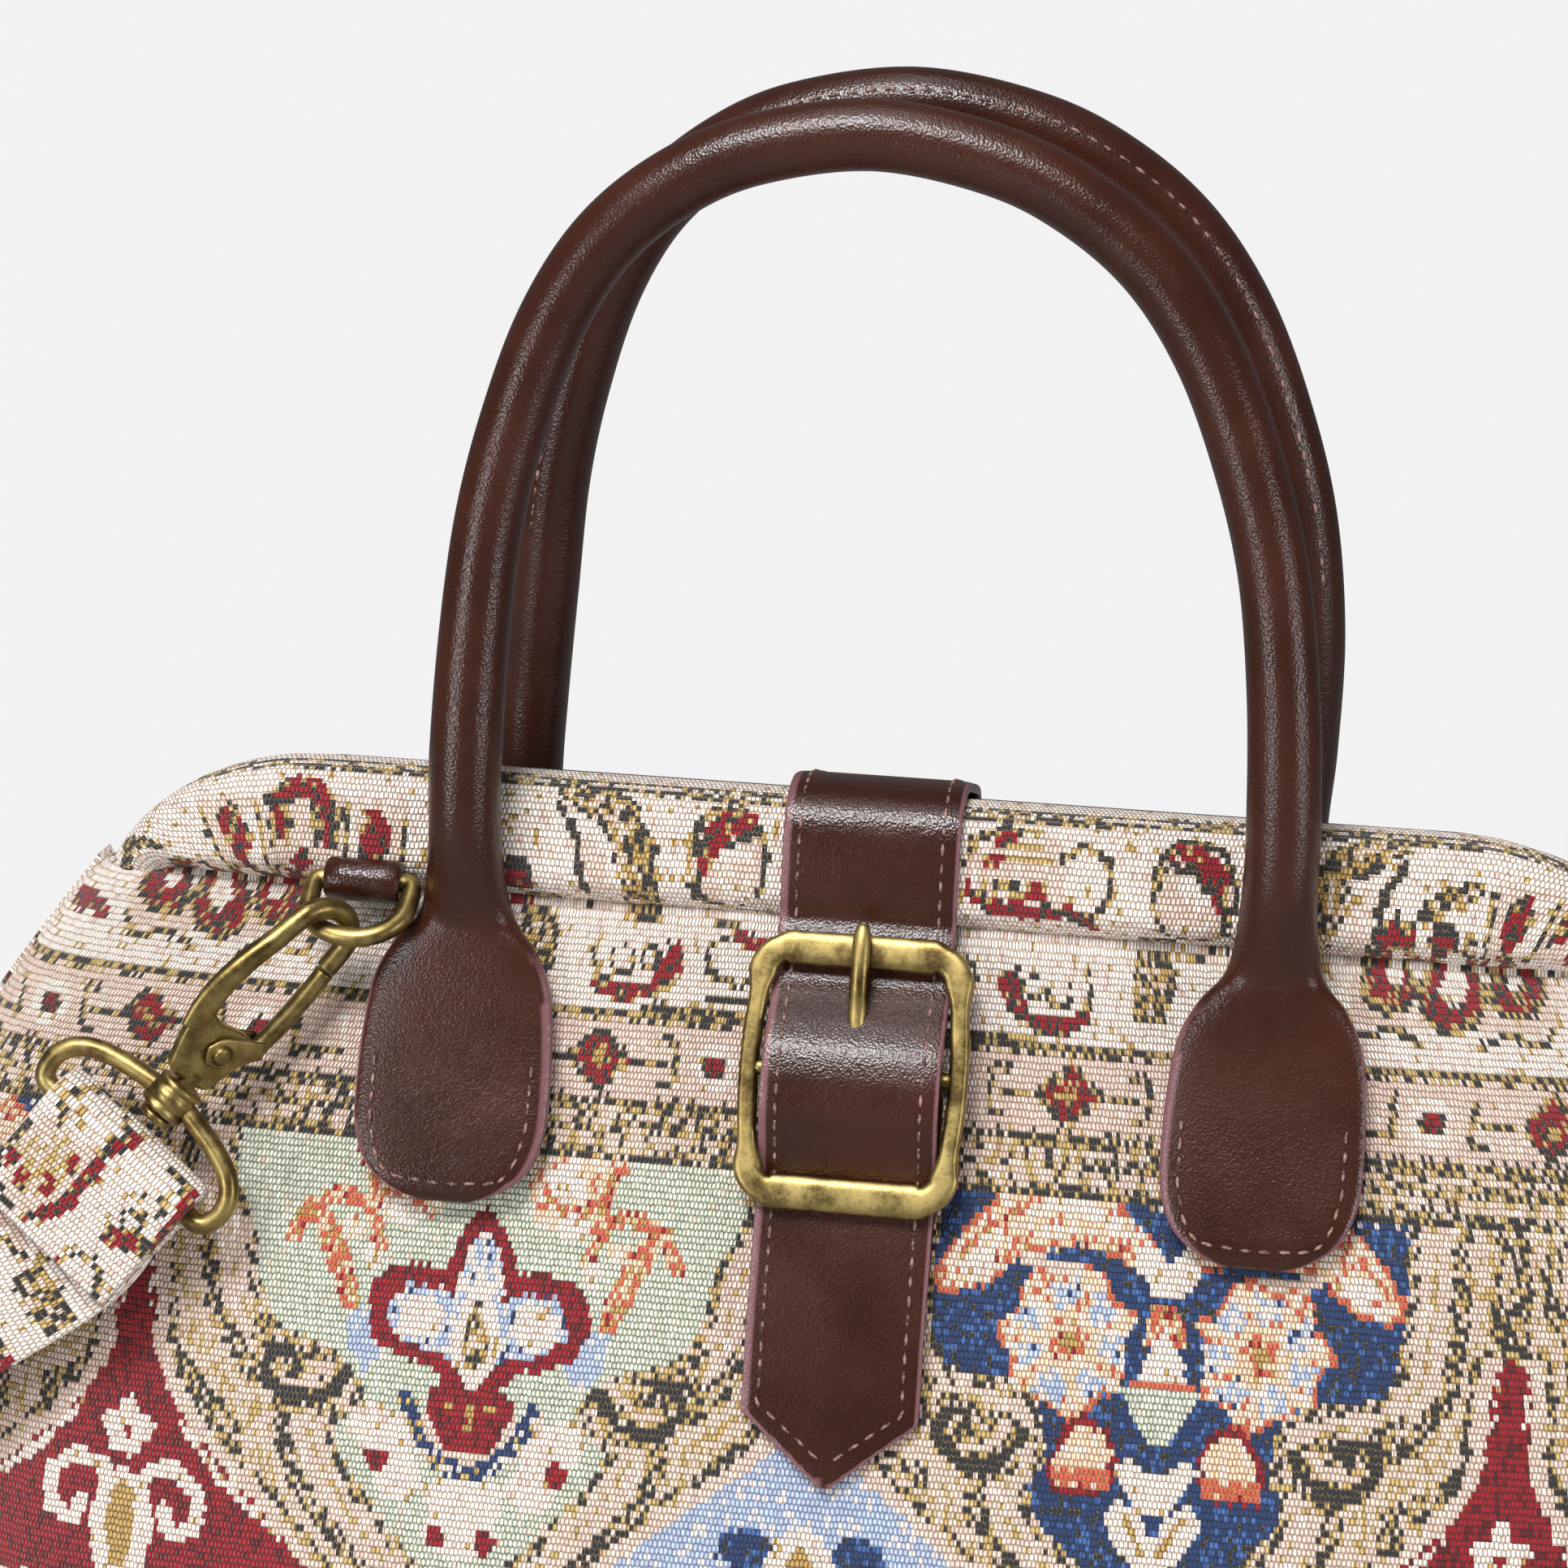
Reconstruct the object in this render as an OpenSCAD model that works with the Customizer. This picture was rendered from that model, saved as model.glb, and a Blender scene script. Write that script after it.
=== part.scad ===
// Carpet bag: a filled tapestry body on a hinged mouth frame, two rolled leather handles,
// a buckled closure strap and a tapestry shoulder strap clipped to two D-rings.
// Millimetres, +Z up, front towards -Y, origin on the floor under the middle of the body.

/* [Body] */
// Greatest width of the filled body
body_width = 440; // [425:1:455]
// Greatest depth of the filled body
body_depth = 160; // [145:1:175]
// Height of the mouth ridge above the floor
ridge_height = 261; // [252:1:272]
// Thickness of the tapestry with its backing
cloth = 3; // [2:0.1:3.6]
// Gap kept between pieces that are sewn or laid together
seam_gap = 0.4; // [0.3:0.05:0.6]
// Half angle of a side gusset seen from the middle of the body
gusset_angle = 11; // [8:0.5:14]
// Squareness of the body's corners in plan
corner_power = 4; // [3:0.1:5]

/* [Base] */
// Height of the metal feet
foot_height = 6; // [4:0.5:9]
// Radius of a foot
foot_radius = 7; // [5:0.5:9]
// Radius of a foot's shank
shank_radius = 2; // [1.5:0.1:2.5]
// Distance of the feet in from the body's sides
foot_inset = 65; // [55:1:110]
// Distance of the feet in from the body's front and back
foot_setback = 35; // [28:1:50]
// Thickness of the stiff base board
board = 3; // [2:0.1:4]
// Thickness of the lining
lining_cloth = 1.2; // [1:0.1:1.6]

/* [Mouth] */
// Height of a casing from its seam to the ridge
casing_height = 28; // [27:0.5:30]
// Thickness of one casing, front to back
casing_depth = 22; // [20.5:0.1:23]
// Thickness of one casing at its ends
casing_end_depth = 11.8; // [11.6:0.1:12]
// Thickness of the casing's cloth
casing_cloth = 1.4; // [1:0.1:1.6]
// Radius of a frame rod
rod_radius = 3.5; // [3:0.1:3.6]
// Radius of a frame's corner
frame_corner = 50; // [46:1:54]
// Distance from the body's side to the straight part of a frame
frame_inset = 95; // [93:1:100]
// Thickness of a hinge lug
lug = 3; // [2:0.1:3.4]
// Radius of a hinge rivet
rivet_radius = 2; // [1.5:0.1:2.4]

/* [Handles] */
// Radius of the rolled handle
handle_radius = 7.5; // [6:0.1:8.5]
// Distance between the two legs of a handle
handle_span = 176; // [160:1:190]
// Rise of the handle's middle line above the seam
handle_rise = 171; // [145:1:190]
// Distance of the handle's top from the middle plane
handle_top_y = 15; // [12:0.5:24]
// Sideways lean of a handle's top
handle_lean = 6; // [0:0.5:9]
// Extra rise of the back handle over the front one
back_rise = 4.5; // [0:0.5:8]
// Sideways drift of the back handle's arch
back_drift = 5; // [0:0.5:7]
// Width of a sewn handle pad
pad_width = 43; // [34:0.5:46]
// Thickness of a sewn handle pad
pad_thick = 5; // [4:0.1:6]
// Length of a pad below the seam
pad_drop = 60; // [50:1:66]

/* [Closure] */
// Width of the closure strap
strap_width = 38.5; // [30:0.5:39.5]
// Thickness of the closure strap
strap_thick = 2.6; // [2:0.1:2.8]
// Length of the strap's point
strap_point = 15; // [8:0.5:20]
// Width of the buckle
buckle_width = 49.5; // [48.5:0.5:54]
// Height of the buckle
buckle_height = 60; // [57:0.5:63]
// Thickness of the buckle frame
buckle_thick = 4.2; // [3.4:0.1:4.4]
// Width of the buckle's sides
buckle_side = 4.2; // [3.4:0.1:4.4]
// Height of the buckle's top and bottom bars
buckle_bar = 7.5; // [6:0.1:8.5]
// Radius of the hidden centre bar
centre_bar = 1.8; // [1.4:0.1:2]
// Radius of the prong
prong_radius = 1.75; // [1.4:0.05:1.9]

/* [Rings and clasps] */
// Distance of a ring tab outwards from the handle's leg
ring_offset = 23; // [22.5:0.5:26]
// Length of a ring tab's tube
tab_length = 16.7; // [14:0.1:17]
// Radius of a ring tab's tube
tab_radius = 4.75; // [4:0.05:4.9]
// Radius of the ring's wire
ring_wire = 2.15; // [1.8:0.05:2.3]
// Depth of the ring from its bar
ring_depth = 16.5; // [16:0.1:17]
// Tilt of the resting ring below the horizontal
ring_tilt = 33; // [31:0.5:35]
// Radius of the hook's wire
hook_wire = 2.4; // [2:0.05:2.5]
// Middle radius of the hook's eye
eye_radius = 7.75; // [7.5:0.05:8]
// Distance from collar to the middle of the eye
eye_reach = 46.9; // [46:0.1:47.5]
// Slope of the clasp above the horizontal
clasp_slope = 50; // [49:0.5:51]
// Turn of the clasp out of the front plane
clasp_lean = 15; // [14:0.5:16]
// Turn of the hook in its collar
hook_roll = 43; // [41:0.5:45]
// Turn of the bail about the clasp's axis
bail_roll = -8; // [-12:0.5:-4]
// Radius of the bail's wire
bail_wire = 2.25; // [1.9:0.05:2.4]
// Half width of the bail
bail_half = 25; // [23.5:0.1:26]
// Radius of the hook's swivel stem
stem_radius = 2.4; // [2:0.05:2.6]
// Radius of the gate's rivet
gate_rivet = 1.6; // [1.2:0.05:1.8]

/* [Shoulder strap] */
// Width of the shoulder strap
sling_width = 40; // [34:0.5:41]
// Thickness of the shoulder strap
sling_thick = 5; // [4:0.1:5.4]

/* [Hidden] */

// Colours of the materials
tapestry = [0.80, 0.72, 0.64];
leather = [0.24, 0.10, 0.07];
brass = [0.55, 0.46, 0.22];
steel = [0.60, 0.60, 0.62];
card = [0.35, 0.30, 0.25];
cotton = [0.72, 0.65, 0.52];

// Height share, half-width share and half-depth share of the filled body, floor to seam
level_shares = [[0.040, 0.928, 0.925], [0.106, 0.959, 1.000], [0.212, 0.986, 0.981], [0.339, 0.997, 0.913],
    [0.466, 1.000, 0.825], [0.593, 0.995, 0.713], [0.720, 0.977, 0.588], [0.847, 0.927, 0.450],
    [0.932, 0.866, 0.356], [0.998, 0.814, 0.275]];
a_shares = [for (s = level_shares) [s[0], s[1]]];
b_shares = [for (s = level_shares) [s[0], s[2]]];

// Places, heights and half sizes that follow from the sizes above
foot_x = body_width / 2 - foot_inset;
foot_y = body_depth / 2 - foot_setback;
frame_straight = body_width / 2 - frame_inset;
ring_x = -handle_span / 2 - ring_offset;
seam_z = ridge_height - casing_height;
base_bottom = foot_height + seam_gap;
base_top = base_bottom + cloth;
board_bottom = base_top + seam_gap;
board_top = board_bottom + board;
casing_front = casing_depth + seam_gap / 2;
panel_cols = 22;
panel_low = base_top + seam_gap;
panel_levels = [for (s = level_shares) max(panel_low, s[0] * seam_z)];

// Half width, half depth and outline of the body at a height
function a_at(z) = body_width / 2 * lookup(z / seam_z, a_shares);
function b_at(z) = body_depth / 2 * lookup(z / seam_z, b_shares);
function reach(c, s) = pow(pow(abs(c), corner_power) + pow(abs(s), corner_power), -1 / corner_power);
function outline(a, b, f) = [a * reach(cos(f), sin(f)) * cos(f), b * reach(cos(f), sin(f)) * sin(f)];
// Front face of the body at a place across the width and a height
function face_y(x, z) = -b_at(z) * pow(1 - pow(abs(x) / a_at(z), corner_power), 1 / corner_power);
function unit(v) = v / norm(v);
function split(q) = [[q[0], q[1], q[2]], [q[0], q[2], q[3]]];
function flat_list(l) = [for (part = l) for (item = part) item];

// Edge angle of a panel at a height, side +1 for the panel and -1 for the gusset
function edge_angle(z, side) = atan(tan(gusset_angle) + side * seam_gap / 2 / b_at(z));

// Grid of points on the body between two edge angles at every level, set in from the outside
function grid(start, sweep, side, inset, cols, levels) = [for (z = levels) for (c = [0 : cols])
    let (e = edge_angle(z, side) * side)
    let (f = start + e + (sweep - e - e) * c / cols)
    let (p = outline(a_at(z) - inset, b_at(z) - inset, f))
    [p[0], p[1], z]];

// Closed wall between an outer and an inner grid of points
module wall(outer, inner, cols, rows) {
    w = cols + 1;
    n = len(outer);
    face = flat_list([for (r = [0 : rows - 1]) for (c = [0 : cols - 1])
        split([r * w + c, (r + 1) * w + c, (r + 1) * w + c + 1, r * w + c + 1])]);
    back = [for (t = face) [t[2] + n, t[1] + n, t[0] + n]];
    low = flat_list([for (c = [0 : cols - 1]) split([c, c + 1, n + c + 1, n + c])]);
    t = rows * w;
    high = flat_list([for (c = [0 : cols - 1]) split([t + c, n + t + c, n + t + c + 1, t + c + 1])]);
    near = flat_list([for (r = [0 : rows - 1]) split([r * w, n + r * w, n + (r + 1) * w, (r + 1) * w])]);
    far = flat_list([for (r = [0 : rows - 1])
        split([r * w + cols, (r + 1) * w + cols, n + (r + 1) * w + cols, n + r * w + cols])]);
    polyhedron(concat(outer, inner), concat(face, back, low, high, near, far));
}

// Solid swept through stations: [point, half width, half thickness, squareness, facing]
function along(st, i) = unit(st[min(i + 1, len(st) - 1)][0] - st[max(i - 1, 0)][0]);
function across(t, facing) = unit(facing - (facing * t) * t);
function power(v, n) = sign(v) * pow(abs(v), 2 / n);
function hoop(s, t, sides) = let (n = across(t, s[4])) let (w = cross(n, t))
    [for (k = [0 : sides - 1]) let (f = 360 * (k + 0.5) / sides)
        s[0] + w * s[1] * power(cos(f), s[3]) + n * s[2] * power(sin(f), s[3])];
module swept(st, sides) {
    last = len(st) - 1;
    pts = flat_list([for (i = [0 : last]) hoop(st[i], along(st, i), sides)]);
    skin = flat_list([for (i = [0 : last - 1]) for (k = [0 : sides - 1])
        let (m = (k + 1) % sides)
        split([i * sides + k, (i + 1) * sides + k, (i + 1) * sides + m, i * sides + m])]);
    start = [for (k = [1 : sides - 2]) [0, k, k + 1]];
    end = [for (k = [1 : sides - 2]) [last * sides, last * sides + k + 1, last * sides + k]];
    polyhedron(pts, concat(skin, start, end));
}

// Front panel: wraps round to the gusset seams at both sides
module front_panel() {
    color(tapestry)
        wall(grid(180, 180, 1, 0, panel_cols, panel_levels),
            grid(180, 180, 1, cloth, panel_cols, panel_levels), panel_cols, len(panel_levels) - 1);
}

// Back panel: the same piece turned to the back
module back_panel() {
    color(tapestry)
        wall(grid(0, 180, 1, 0, panel_cols, panel_levels),
            grid(0, 180, 1, cloth, panel_cols, panel_levels), panel_cols, len(panel_levels) - 1);
}

// Narrow side gusset between the two panels
gusset_cols = 4;
function side_grid(middle, inset) = [for (z = panel_levels) for (c = [0 : gusset_cols])
    let (e = edge_angle(z, -1))
    let (p = outline(a_at(z) - inset, b_at(z) - inset, middle - e + e * 2 * c / gusset_cols))
    [p[0], p[1], z]];
module gusset(middle) {
    wall(side_grid(middle, 0), side_grid(middle, cloth), gusset_cols, len(panel_levels) - 1);
}
module left_gusset() {
    color(tapestry)
        gusset(180);
}
module right_gusset() {
    color(tapestry)
        gusset(0);
}

// Base: a tapestry panel outside, a stiff board inside, both pierced by the shanks of the feet
plan_steps = 48;
base_clear = 3;
function plan(inset) = [for (k = [0 : plan_steps - 1])
    outline(a_at(panel_low) - inset, b_at(panel_low) - inset, 360 * k / plan_steps)];
module at_feet() {
    for (sx = [-1, 1])
        for (sy = [-1, 1])
            translate([sx * foot_x, sy * foot_y, 0])
                children();
}
shank_play = 0.3;
module base_panel() {
    color(tapestry)
        difference() {
            translate([0, 0, base_bottom])
                linear_extrude(cloth)
                    polygon(plan(0));
            at_feet()
                cylinder(h = board_top, r = shank_radius + shank_play, $fn = 24);
        }
}
module base_board() {
    color(card)
        difference() {
            translate([0, 0, board_bottom])
                linear_extrude(board)
                    polygon(plan(cloth + base_clear));
            at_feet()
                cylinder(h = board_top + board, r = shank_radius + shank_play, $fn = 24);
        }
}
foot_edge = 1.5;
module base_feet() {
    color(brass)
        at_feet() {
            cylinder(h = foot_edge, r1 = foot_radius - foot_edge, r2 = foot_radius, $fn = 32);
            translate([0, 0, foot_edge])
                cylinder(h = foot_height - foot_edge, r = foot_radius, $fn = 32);
            translate([0, 0, foot_edge])
                cylinder(h = board_top - foot_edge, r = shank_radius, $fn = 32);
        }
}

// Lining: a cup that hangs inside the panels and rests on the base board
lining_steps = 24;
lining_clear = 1.6;
lining_top_share = 0.915;
lining_low = board_top + seam_gap;
lining_levels = concat([lining_low], [for (k = [2 : 7]) level_shares[k][0] * seam_z],
    [lining_top_share * seam_z]);
function cup(inset, low) = [for (i = [0 : len(lining_levels) - 1]) for (k = [0 : lining_steps - 1])
    let (z = i == 0 ? low : lining_levels[i])
    let (p = outline(a_at(z) - inset, b_at(z) - inset, 360 * k / lining_steps))
    [p[0], p[1], z]];
module lining() {
    rows = len(lining_levels) - 1;
    s = lining_steps;
    outer = cup(cloth + lining_clear, lining_low);
    inner = cup(cloth + lining_clear + lining_cloth, lining_low + lining_cloth);
    n = len(outer);
    skin = flat_list([for (r = [0 : rows - 1]) for (k = [0 : s - 1]) let (m = (k + 1) % s)
        split([r * s + k, (r + 1) * s + k, (r + 1) * s + m, r * s + m])]);
    back = [for (t = skin) [t[2] + n, t[1] + n, t[0] + n]];
    t = rows * s;
    rim = flat_list([for (k = [0 : s - 1]) let (m = (k + 1) % s)
        split([t + k, n + t + k, n + t + m, t + m])]);
    floor_out = [for (k = [1 : s - 2]) [0, k, k + 1]];
    floor_in = [for (k = [1 : s - 2]) [n, n + k + 1, n + k]];
    color(cotton)
        polyhedron(concat(outer, inner), concat(skin, back, rim, floor_out, floor_in));
}

// Mouth frame: two bent steel rods hinged at their ends by rivets along the width
rod_y = -6.3;
rod_inset = 2.6;
rod_top = ridge_height - casing_cloth - rod_radius - rod_inset;
rod_end = 20;
hinge_drop = 13;
lug_radius = 5;
lug_play = 0.3;
rivet_play = 0.05;
rivet_head = 3.4;
rivet_cap = 1.2;
corner_z = rod_top - frame_corner;
end_x = frame_straight + frame_corner * cos(rod_end);
end_z = corner_z + frame_corner * sin(rod_end);
hinge_z = end_z - hinge_drop;
// A lug on the outer or the inner side of the hinge, with its rivet's bore
module hinge_lug(x) {
    difference() {
        hull() {
            translate([x, rod_y, end_z])
                rotate([0, 90, 0])
                    cylinder(h = lug, r = rod_radius, $fn = 32);
            translate([x, 0, hinge_z])
                rotate([0, 90, 0])
                    cylinder(h = lug, r = lug_radius, $fn = 32);
        }
        translate([x - lug, 0, hinge_z])
            rotate([0, 90, 0])
                cylinder(h = lug * 3, r = rivet_radius + rivet_play, $fn = 32);
    }
}
// Bent rod: from one end up round its corner, along the mouth and down to the other end
rod_steps = 8;
rod_sides = 12;
function rod_corner(side) = [for (k = [0 : rod_steps])
    let (f = rod_end + (90 - rod_end) * k / rod_steps)
    [[side * (frame_straight + frame_corner * cos(f)), rod_y, corner_z + frame_corner * sin(f)],
        rod_radius, rod_radius, 2, [0, -1, 0]]];
rod_right = rod_corner(1);
rod_stations = concat(rod_corner(-1), [for (k = [rod_steps : -1 : 0]) rod_right[k]]);
module frame_half() {
    swept(rod_stations, rod_sides);
    hinge_lug(end_x - lug - lug_play / 2);
    hinge_lug(-end_x - lug - lug_play / 2);
}
module front_frame() {
    color(steel)
        frame_half();
}
module back_frame() {
    color(steel)
        rotate([0, 0, 180])
            frame_half();
}
module hinge_rivets() {
    color(steel)
        for (side = [-1, 1])
            translate([side * end_x, 0, hinge_z])
                rotate([0, 90, 0]) {
                    shaft = lug * 2 + lug_play * 3;
                    translate([0, 0, -shaft / 2])
                        cylinder(h = shaft, r = rivet_radius, $fn = 32);
                    translate([0, 0, shaft / 2])
                        cylinder(h = rivet_cap, r = rivet_head, $fn = 32);
                    translate([0, 0, -shaft / 2 - rivet_cap])
                        cylinder(h = rivet_cap, r = rivet_head, $fn = 32);
                }
}

// Casing: a sewn cloth channel round each frame rod, deep along the mouth and narrow at its ends
// Turn along the corner, outer reach, inner reach and depth, each as a share
casing_shares = [[1.00, 1.00, 1.00, 1.00], [0.80, 1.00, 0.955, 1.00], [0.62, 1.02, 0.82, 0.96],
    [0.45, 1.04, 0.585, 0.78], [0.30, 1.06, 0.28, 0.30], [0.17, 1.04, 0.34, -0.14]];
casing_straights = 6;
casing_sides = 14;
casing_square = 4;
casing_out = ridge_height - rod_top;
casing_in = rod_top - seam_z;
casing_turn = 90 - rod_end;
// Middle of the frame rod's path with its outward direction, then reaches and depth
function casing_corner(side, s) = let (f = rod_end + casing_turn * s[0])
    [[side * (frame_straight + frame_corner * cos(f)), corner_z + frame_corner * sin(f)],
        [side * cos(f), sin(f)], casing_out * s[1], casing_in * s[2],
        casing_end_depth + (casing_depth - casing_end_depth) * s[3]];
casing_stations = concat(
    [for (k = [len(casing_shares) - 1 : -1 : 0]) casing_corner(-1, casing_shares[k])],
    [for (k = [1 : casing_straights - 1])
        [[frame_straight * (2 * k / casing_straights - 1), rod_top], [0, 1],
            casing_out, casing_in, casing_depth]],
    [for (k = [0 : len(casing_shares) - 1]) casing_corner(1, casing_shares[k])]);
function casing_hoop(c, inset) = [for (k = [0 : casing_sides - 1])
    let (f = 360 * (k + 0.5) / casing_sides)
    let (h = (c[2] + c[3]) / 2)
    let (r = (c[2] - c[3]) / 2 + (h - inset) * power(sin(f), casing_square))
    let (y = -seam_gap / 2 - c[4] / 2 - (c[4] / 2 - inset) * power(cos(f), casing_square))
    [c[0][0] + c[1][0] * r, y, c[0][1] + c[1][1] * r]];
module casing() {
    s = casing_sides;
    last = len(casing_stations) - 1;
    outer = flat_list([for (c = casing_stations) casing_hoop(c, 0)]);
    inner = flat_list([for (c = casing_stations) casing_hoop(c, casing_cloth)]);
    n = len(outer);
    skin = flat_list([for (i = [0 : last - 1]) for (k = [0 : s - 1]) let (m = (k + 1) % s)
        split([i * s + k, (i + 1) * s + k, (i + 1) * s + m, i * s + m])]);
    back = [for (t = skin) [t[2] + n, t[1] + n, t[0] + n]];
    e = last * s;
    near = flat_list([for (k = [0 : s - 1]) let (m = (k + 1) % s) split([k, m, n + m, n + k])]);
    far = flat_list([for (k = [0 : s - 1]) let (m = (k + 1) % s)
        split([e + k, n + e + k, n + e + m, e + m])]);
    polyhedron(concat(outer, inner), concat(skin, back, near, far));
}
module front_casing() {
    color(tapestry)
        casing();
}
module back_casing() {
    color(tapestry)
        rotate([0, 0, 180])
            casing();
}

// Handle: one rolled leather piece that opens into a flat sewn pad at each end
// Share of the pad's drop from its bottom, with width and thickness shares
pad_shares = [[0.000, 0.20, 0.70], [0.025, 0.44, 0.90], [0.08, 0.68, 1.00], [0.17, 0.87, 1.00],
    [0.30, 0.99, 1.00], [0.45, 1.00, 1.00], [0.62, 0.88, 1.00], [0.78, 0.69, 1.10], [0.90, 0.52, 1.35],
    [1.00, 0.42, 1.80]];
// Share of the rise above the seam with the share of the half span
arch_shares = [[0.095, 1.00], [0.20, 1.00], [0.35, 0.985], [0.50, 0.95], [0.63, 0.885], [0.756, 0.79],
    [0.857, 0.66], [0.929, 0.49], [0.976, 0.29], [1.00, 0.00]];
pad_square = 3;
handle_sides = 12;
half_span = handle_span / 2;
neck_y = casing_front + seam_gap + handle_radius;
pad_inner = half_span - pad_width / 2;
forward = [0, -1, 0];
function pad_station(s) = let (z = seam_z - pad_drop * (1 - s[0])) let (t = pad_thick / 2 * s[2])
    [[half_span, face_y(pad_inner, z) - seam_gap - t, z], pad_width / 2 * s[1], t, pad_square, forward];
function arch_station(s, rise) = let (lift = (s[0] - arch_shares[1][0]) / (1 - arch_shares[1][0]))
    [[half_span * s[1], -neck_y + (neck_y - handle_top_y) * max(0, lift), seam_z + rise * s[0]],
        handle_radius, handle_radius, 2, forward];
function handle_half(rise) = concat([for (s = pad_shares) pad_station(s)],
    [for (s = arch_shares) arch_station(s, rise)]);
// Share of the rise by which the drift is complete
drift_share = 0.4;
// One leg of a handle, side -1 on the left, with the arch's sideways lean and drift
function leg(side, rise, drift) = [for (s = handle_half(rise))
    let (up = max(0, (s[0][2] - seam_z) / rise))
    let (across = drift * min(1, up / drift_share) - handle_lean * up * up)
    [[side * s[0][0] + across, s[0][1], s[0][2]], s[1], s[2], s[3], s[4]]];
function handle_stations(rise, drift) = let (far = leg(1, rise, drift))
    concat(leg(-1, rise, drift), [for (k = [len(far) - 2 : -1 : 0]) far[k]]);
module front_handle() {
    color(leather)
        swept(handle_stations(handle_rise, 0), handle_sides);
}
module back_handle() {
    color(leather)
        mirror([0, 1, 0])
            swept(handle_stations(handle_rise + back_rise, back_drift), handle_sides);
}

// Buckle plane: a plane on the sloping front, u down the slope from the seam, d out of it
buckle_mid = 29;
lean_step = 30;
buckle_z = seam_z - buckle_mid;
buckle_lean = atan((face_y(0, buckle_z + lean_step) - face_y(0, buckle_z - lean_step)) / (lean_step * 2));
function on_plane(u, d) = [
    face_y(0, buckle_z) - sin(buckle_lean) * (u - buckle_mid) - cos(buckle_lean) * d,
    buckle_z - cos(buckle_lean) * (u - buckle_mid) + sin(buckle_lean) * d];
// Moves a piece drawn in the buckle's plane (x across, y up the slope, z out of it) to its place
module in_buckle_plane(d) {
    translate([0, on_plane(buckle_mid, d)[0], on_plane(buckle_mid, d)[1]])
        rotate([90 - buckle_lean, 0, 0])
            children();
}
frame_low = 5.1;
bar_d = frame_low + buckle_thick / 2;
tab_thick = 1.3;
tab_loop = 1.4;
bar_play = 0.3;
loop_radius = centre_bar + bar_play + tab_loop;
over_bar = bar_d + loop_radius + seam_gap + strap_thick / 2;
under_bar = seam_gap * 2 + tab_thick + strap_thick / 2;
on_panel = seam_gap + strap_thick / 2;

// Closure strap: over the mouth, under the buckle's top bar, over its centre bar, under its bottom bar
// Share of the buckle's height down the slope with the share of the way from low to high
buckle_run_shares = [[0.02, 0.00], [0.09, 0.00], [0.165, 0.05], [0.25, 0.32], [0.335, 0.65], [0.42, 0.91],
    [0.50, 1.00], [0.57, 1.00], [0.65, 0.89], [0.73, 0.58], [0.81, 0.24], [0.88, 0.04], [0.95, 0.00],
    [1.06, 0.00]];
buckle_top_u = buckle_mid - buckle_height / 2;
run = [for (s = buckle_run_shares)
    on_plane(buckle_top_u + buckle_height * s[0], under_bar + (over_bar - under_bar) * s[1])];
// Heights below the buckle as shares of the seam's height, with the strap's lift off the panel
tail_shares = [[0.665, 1.00], [0.632, 0.55], [0.60, 0.10], [0.57, 0.0], [0.545, 0.0], [0.519, 0.0]];
tail = [for (s = tail_shares)
    [face_y(0, s[0] * seam_z) - on_panel - (under_bar - on_panel) * s[1], s[0] * seam_z]];
// Back run heights as shares, and the bend over the ridge as shares of the casing's front and height
back_shares = [0.79, 0.85, 0.91, 0.97];
back_run = [for (s = back_shares) [-face_y(0, s * seam_z) + on_panel, s * seam_z]];
bend_shares = [[1.00, 0.15], [1.00, 0.45], [1.00, 0.75], [0.95, 0.93], [0.82, 1.00], [0.50, 1.00],
    [0.0, 1.00]];
function bend(side) = [for (s = bend_shares)
    [side * (casing_front + on_panel) * s[0], seam_z + (casing_height + on_panel) * s[1]]];
bend_front = bend(-1);
strap_line = concat(back_run, bend(1), [for (k = [len(bend_shares) - 2 : -1 : 0]) bend_front[k]], run, tail);
function line_side(l, i) = let (t = unit(l[min(i + 1, len(l) - 1)] - l[max(i - 1, 0)])) [-t[1], t[0]];
function ribbon(l, t) = concat([for (i = [0 : len(l) - 1]) l[i] + line_side(l, i) * t / 2],
    [for (i = [len(l) - 1 : -1 : 0]) l[i] - line_side(l, i) * t / 2]);
strap_end_z = tail_shares[len(tail_shares) - 1][0] * seam_z;
strap_margin = 20;
hole_length_share = 0.28;
hole_middle_share = 0.167;
hole_width = 4.6;
hole_height = 40;
module closure_strap() {
    color(leather)
        difference() {
            intersection() {
                rotate([90, 0, 90])
                    linear_extrude(strap_width, center = true)
                        polygon(ribbon(strap_line, strap_thick));
                rotate([90, 0, 0])
                    linear_extrude(body_depth * 2, center = true)
                        polygon([[-strap_width, ridge_height + strap_margin],
                            [-strap_width, strap_end_z + strap_point * 2],
                            [-strap_width / 2, strap_end_z + strap_point], [0, strap_end_z],
                            [strap_width / 2, strap_end_z + strap_point],
                            [strap_width, strap_end_z + strap_point * 2],
                            [strap_width, ridge_height + strap_margin]]);
            }
            in_buckle_plane(0)
                translate([0, buckle_height * hole_middle_share, 0])
                    cube([hole_width, buckle_height * hole_length_share, hole_height], center = true);
        }
}

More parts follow.
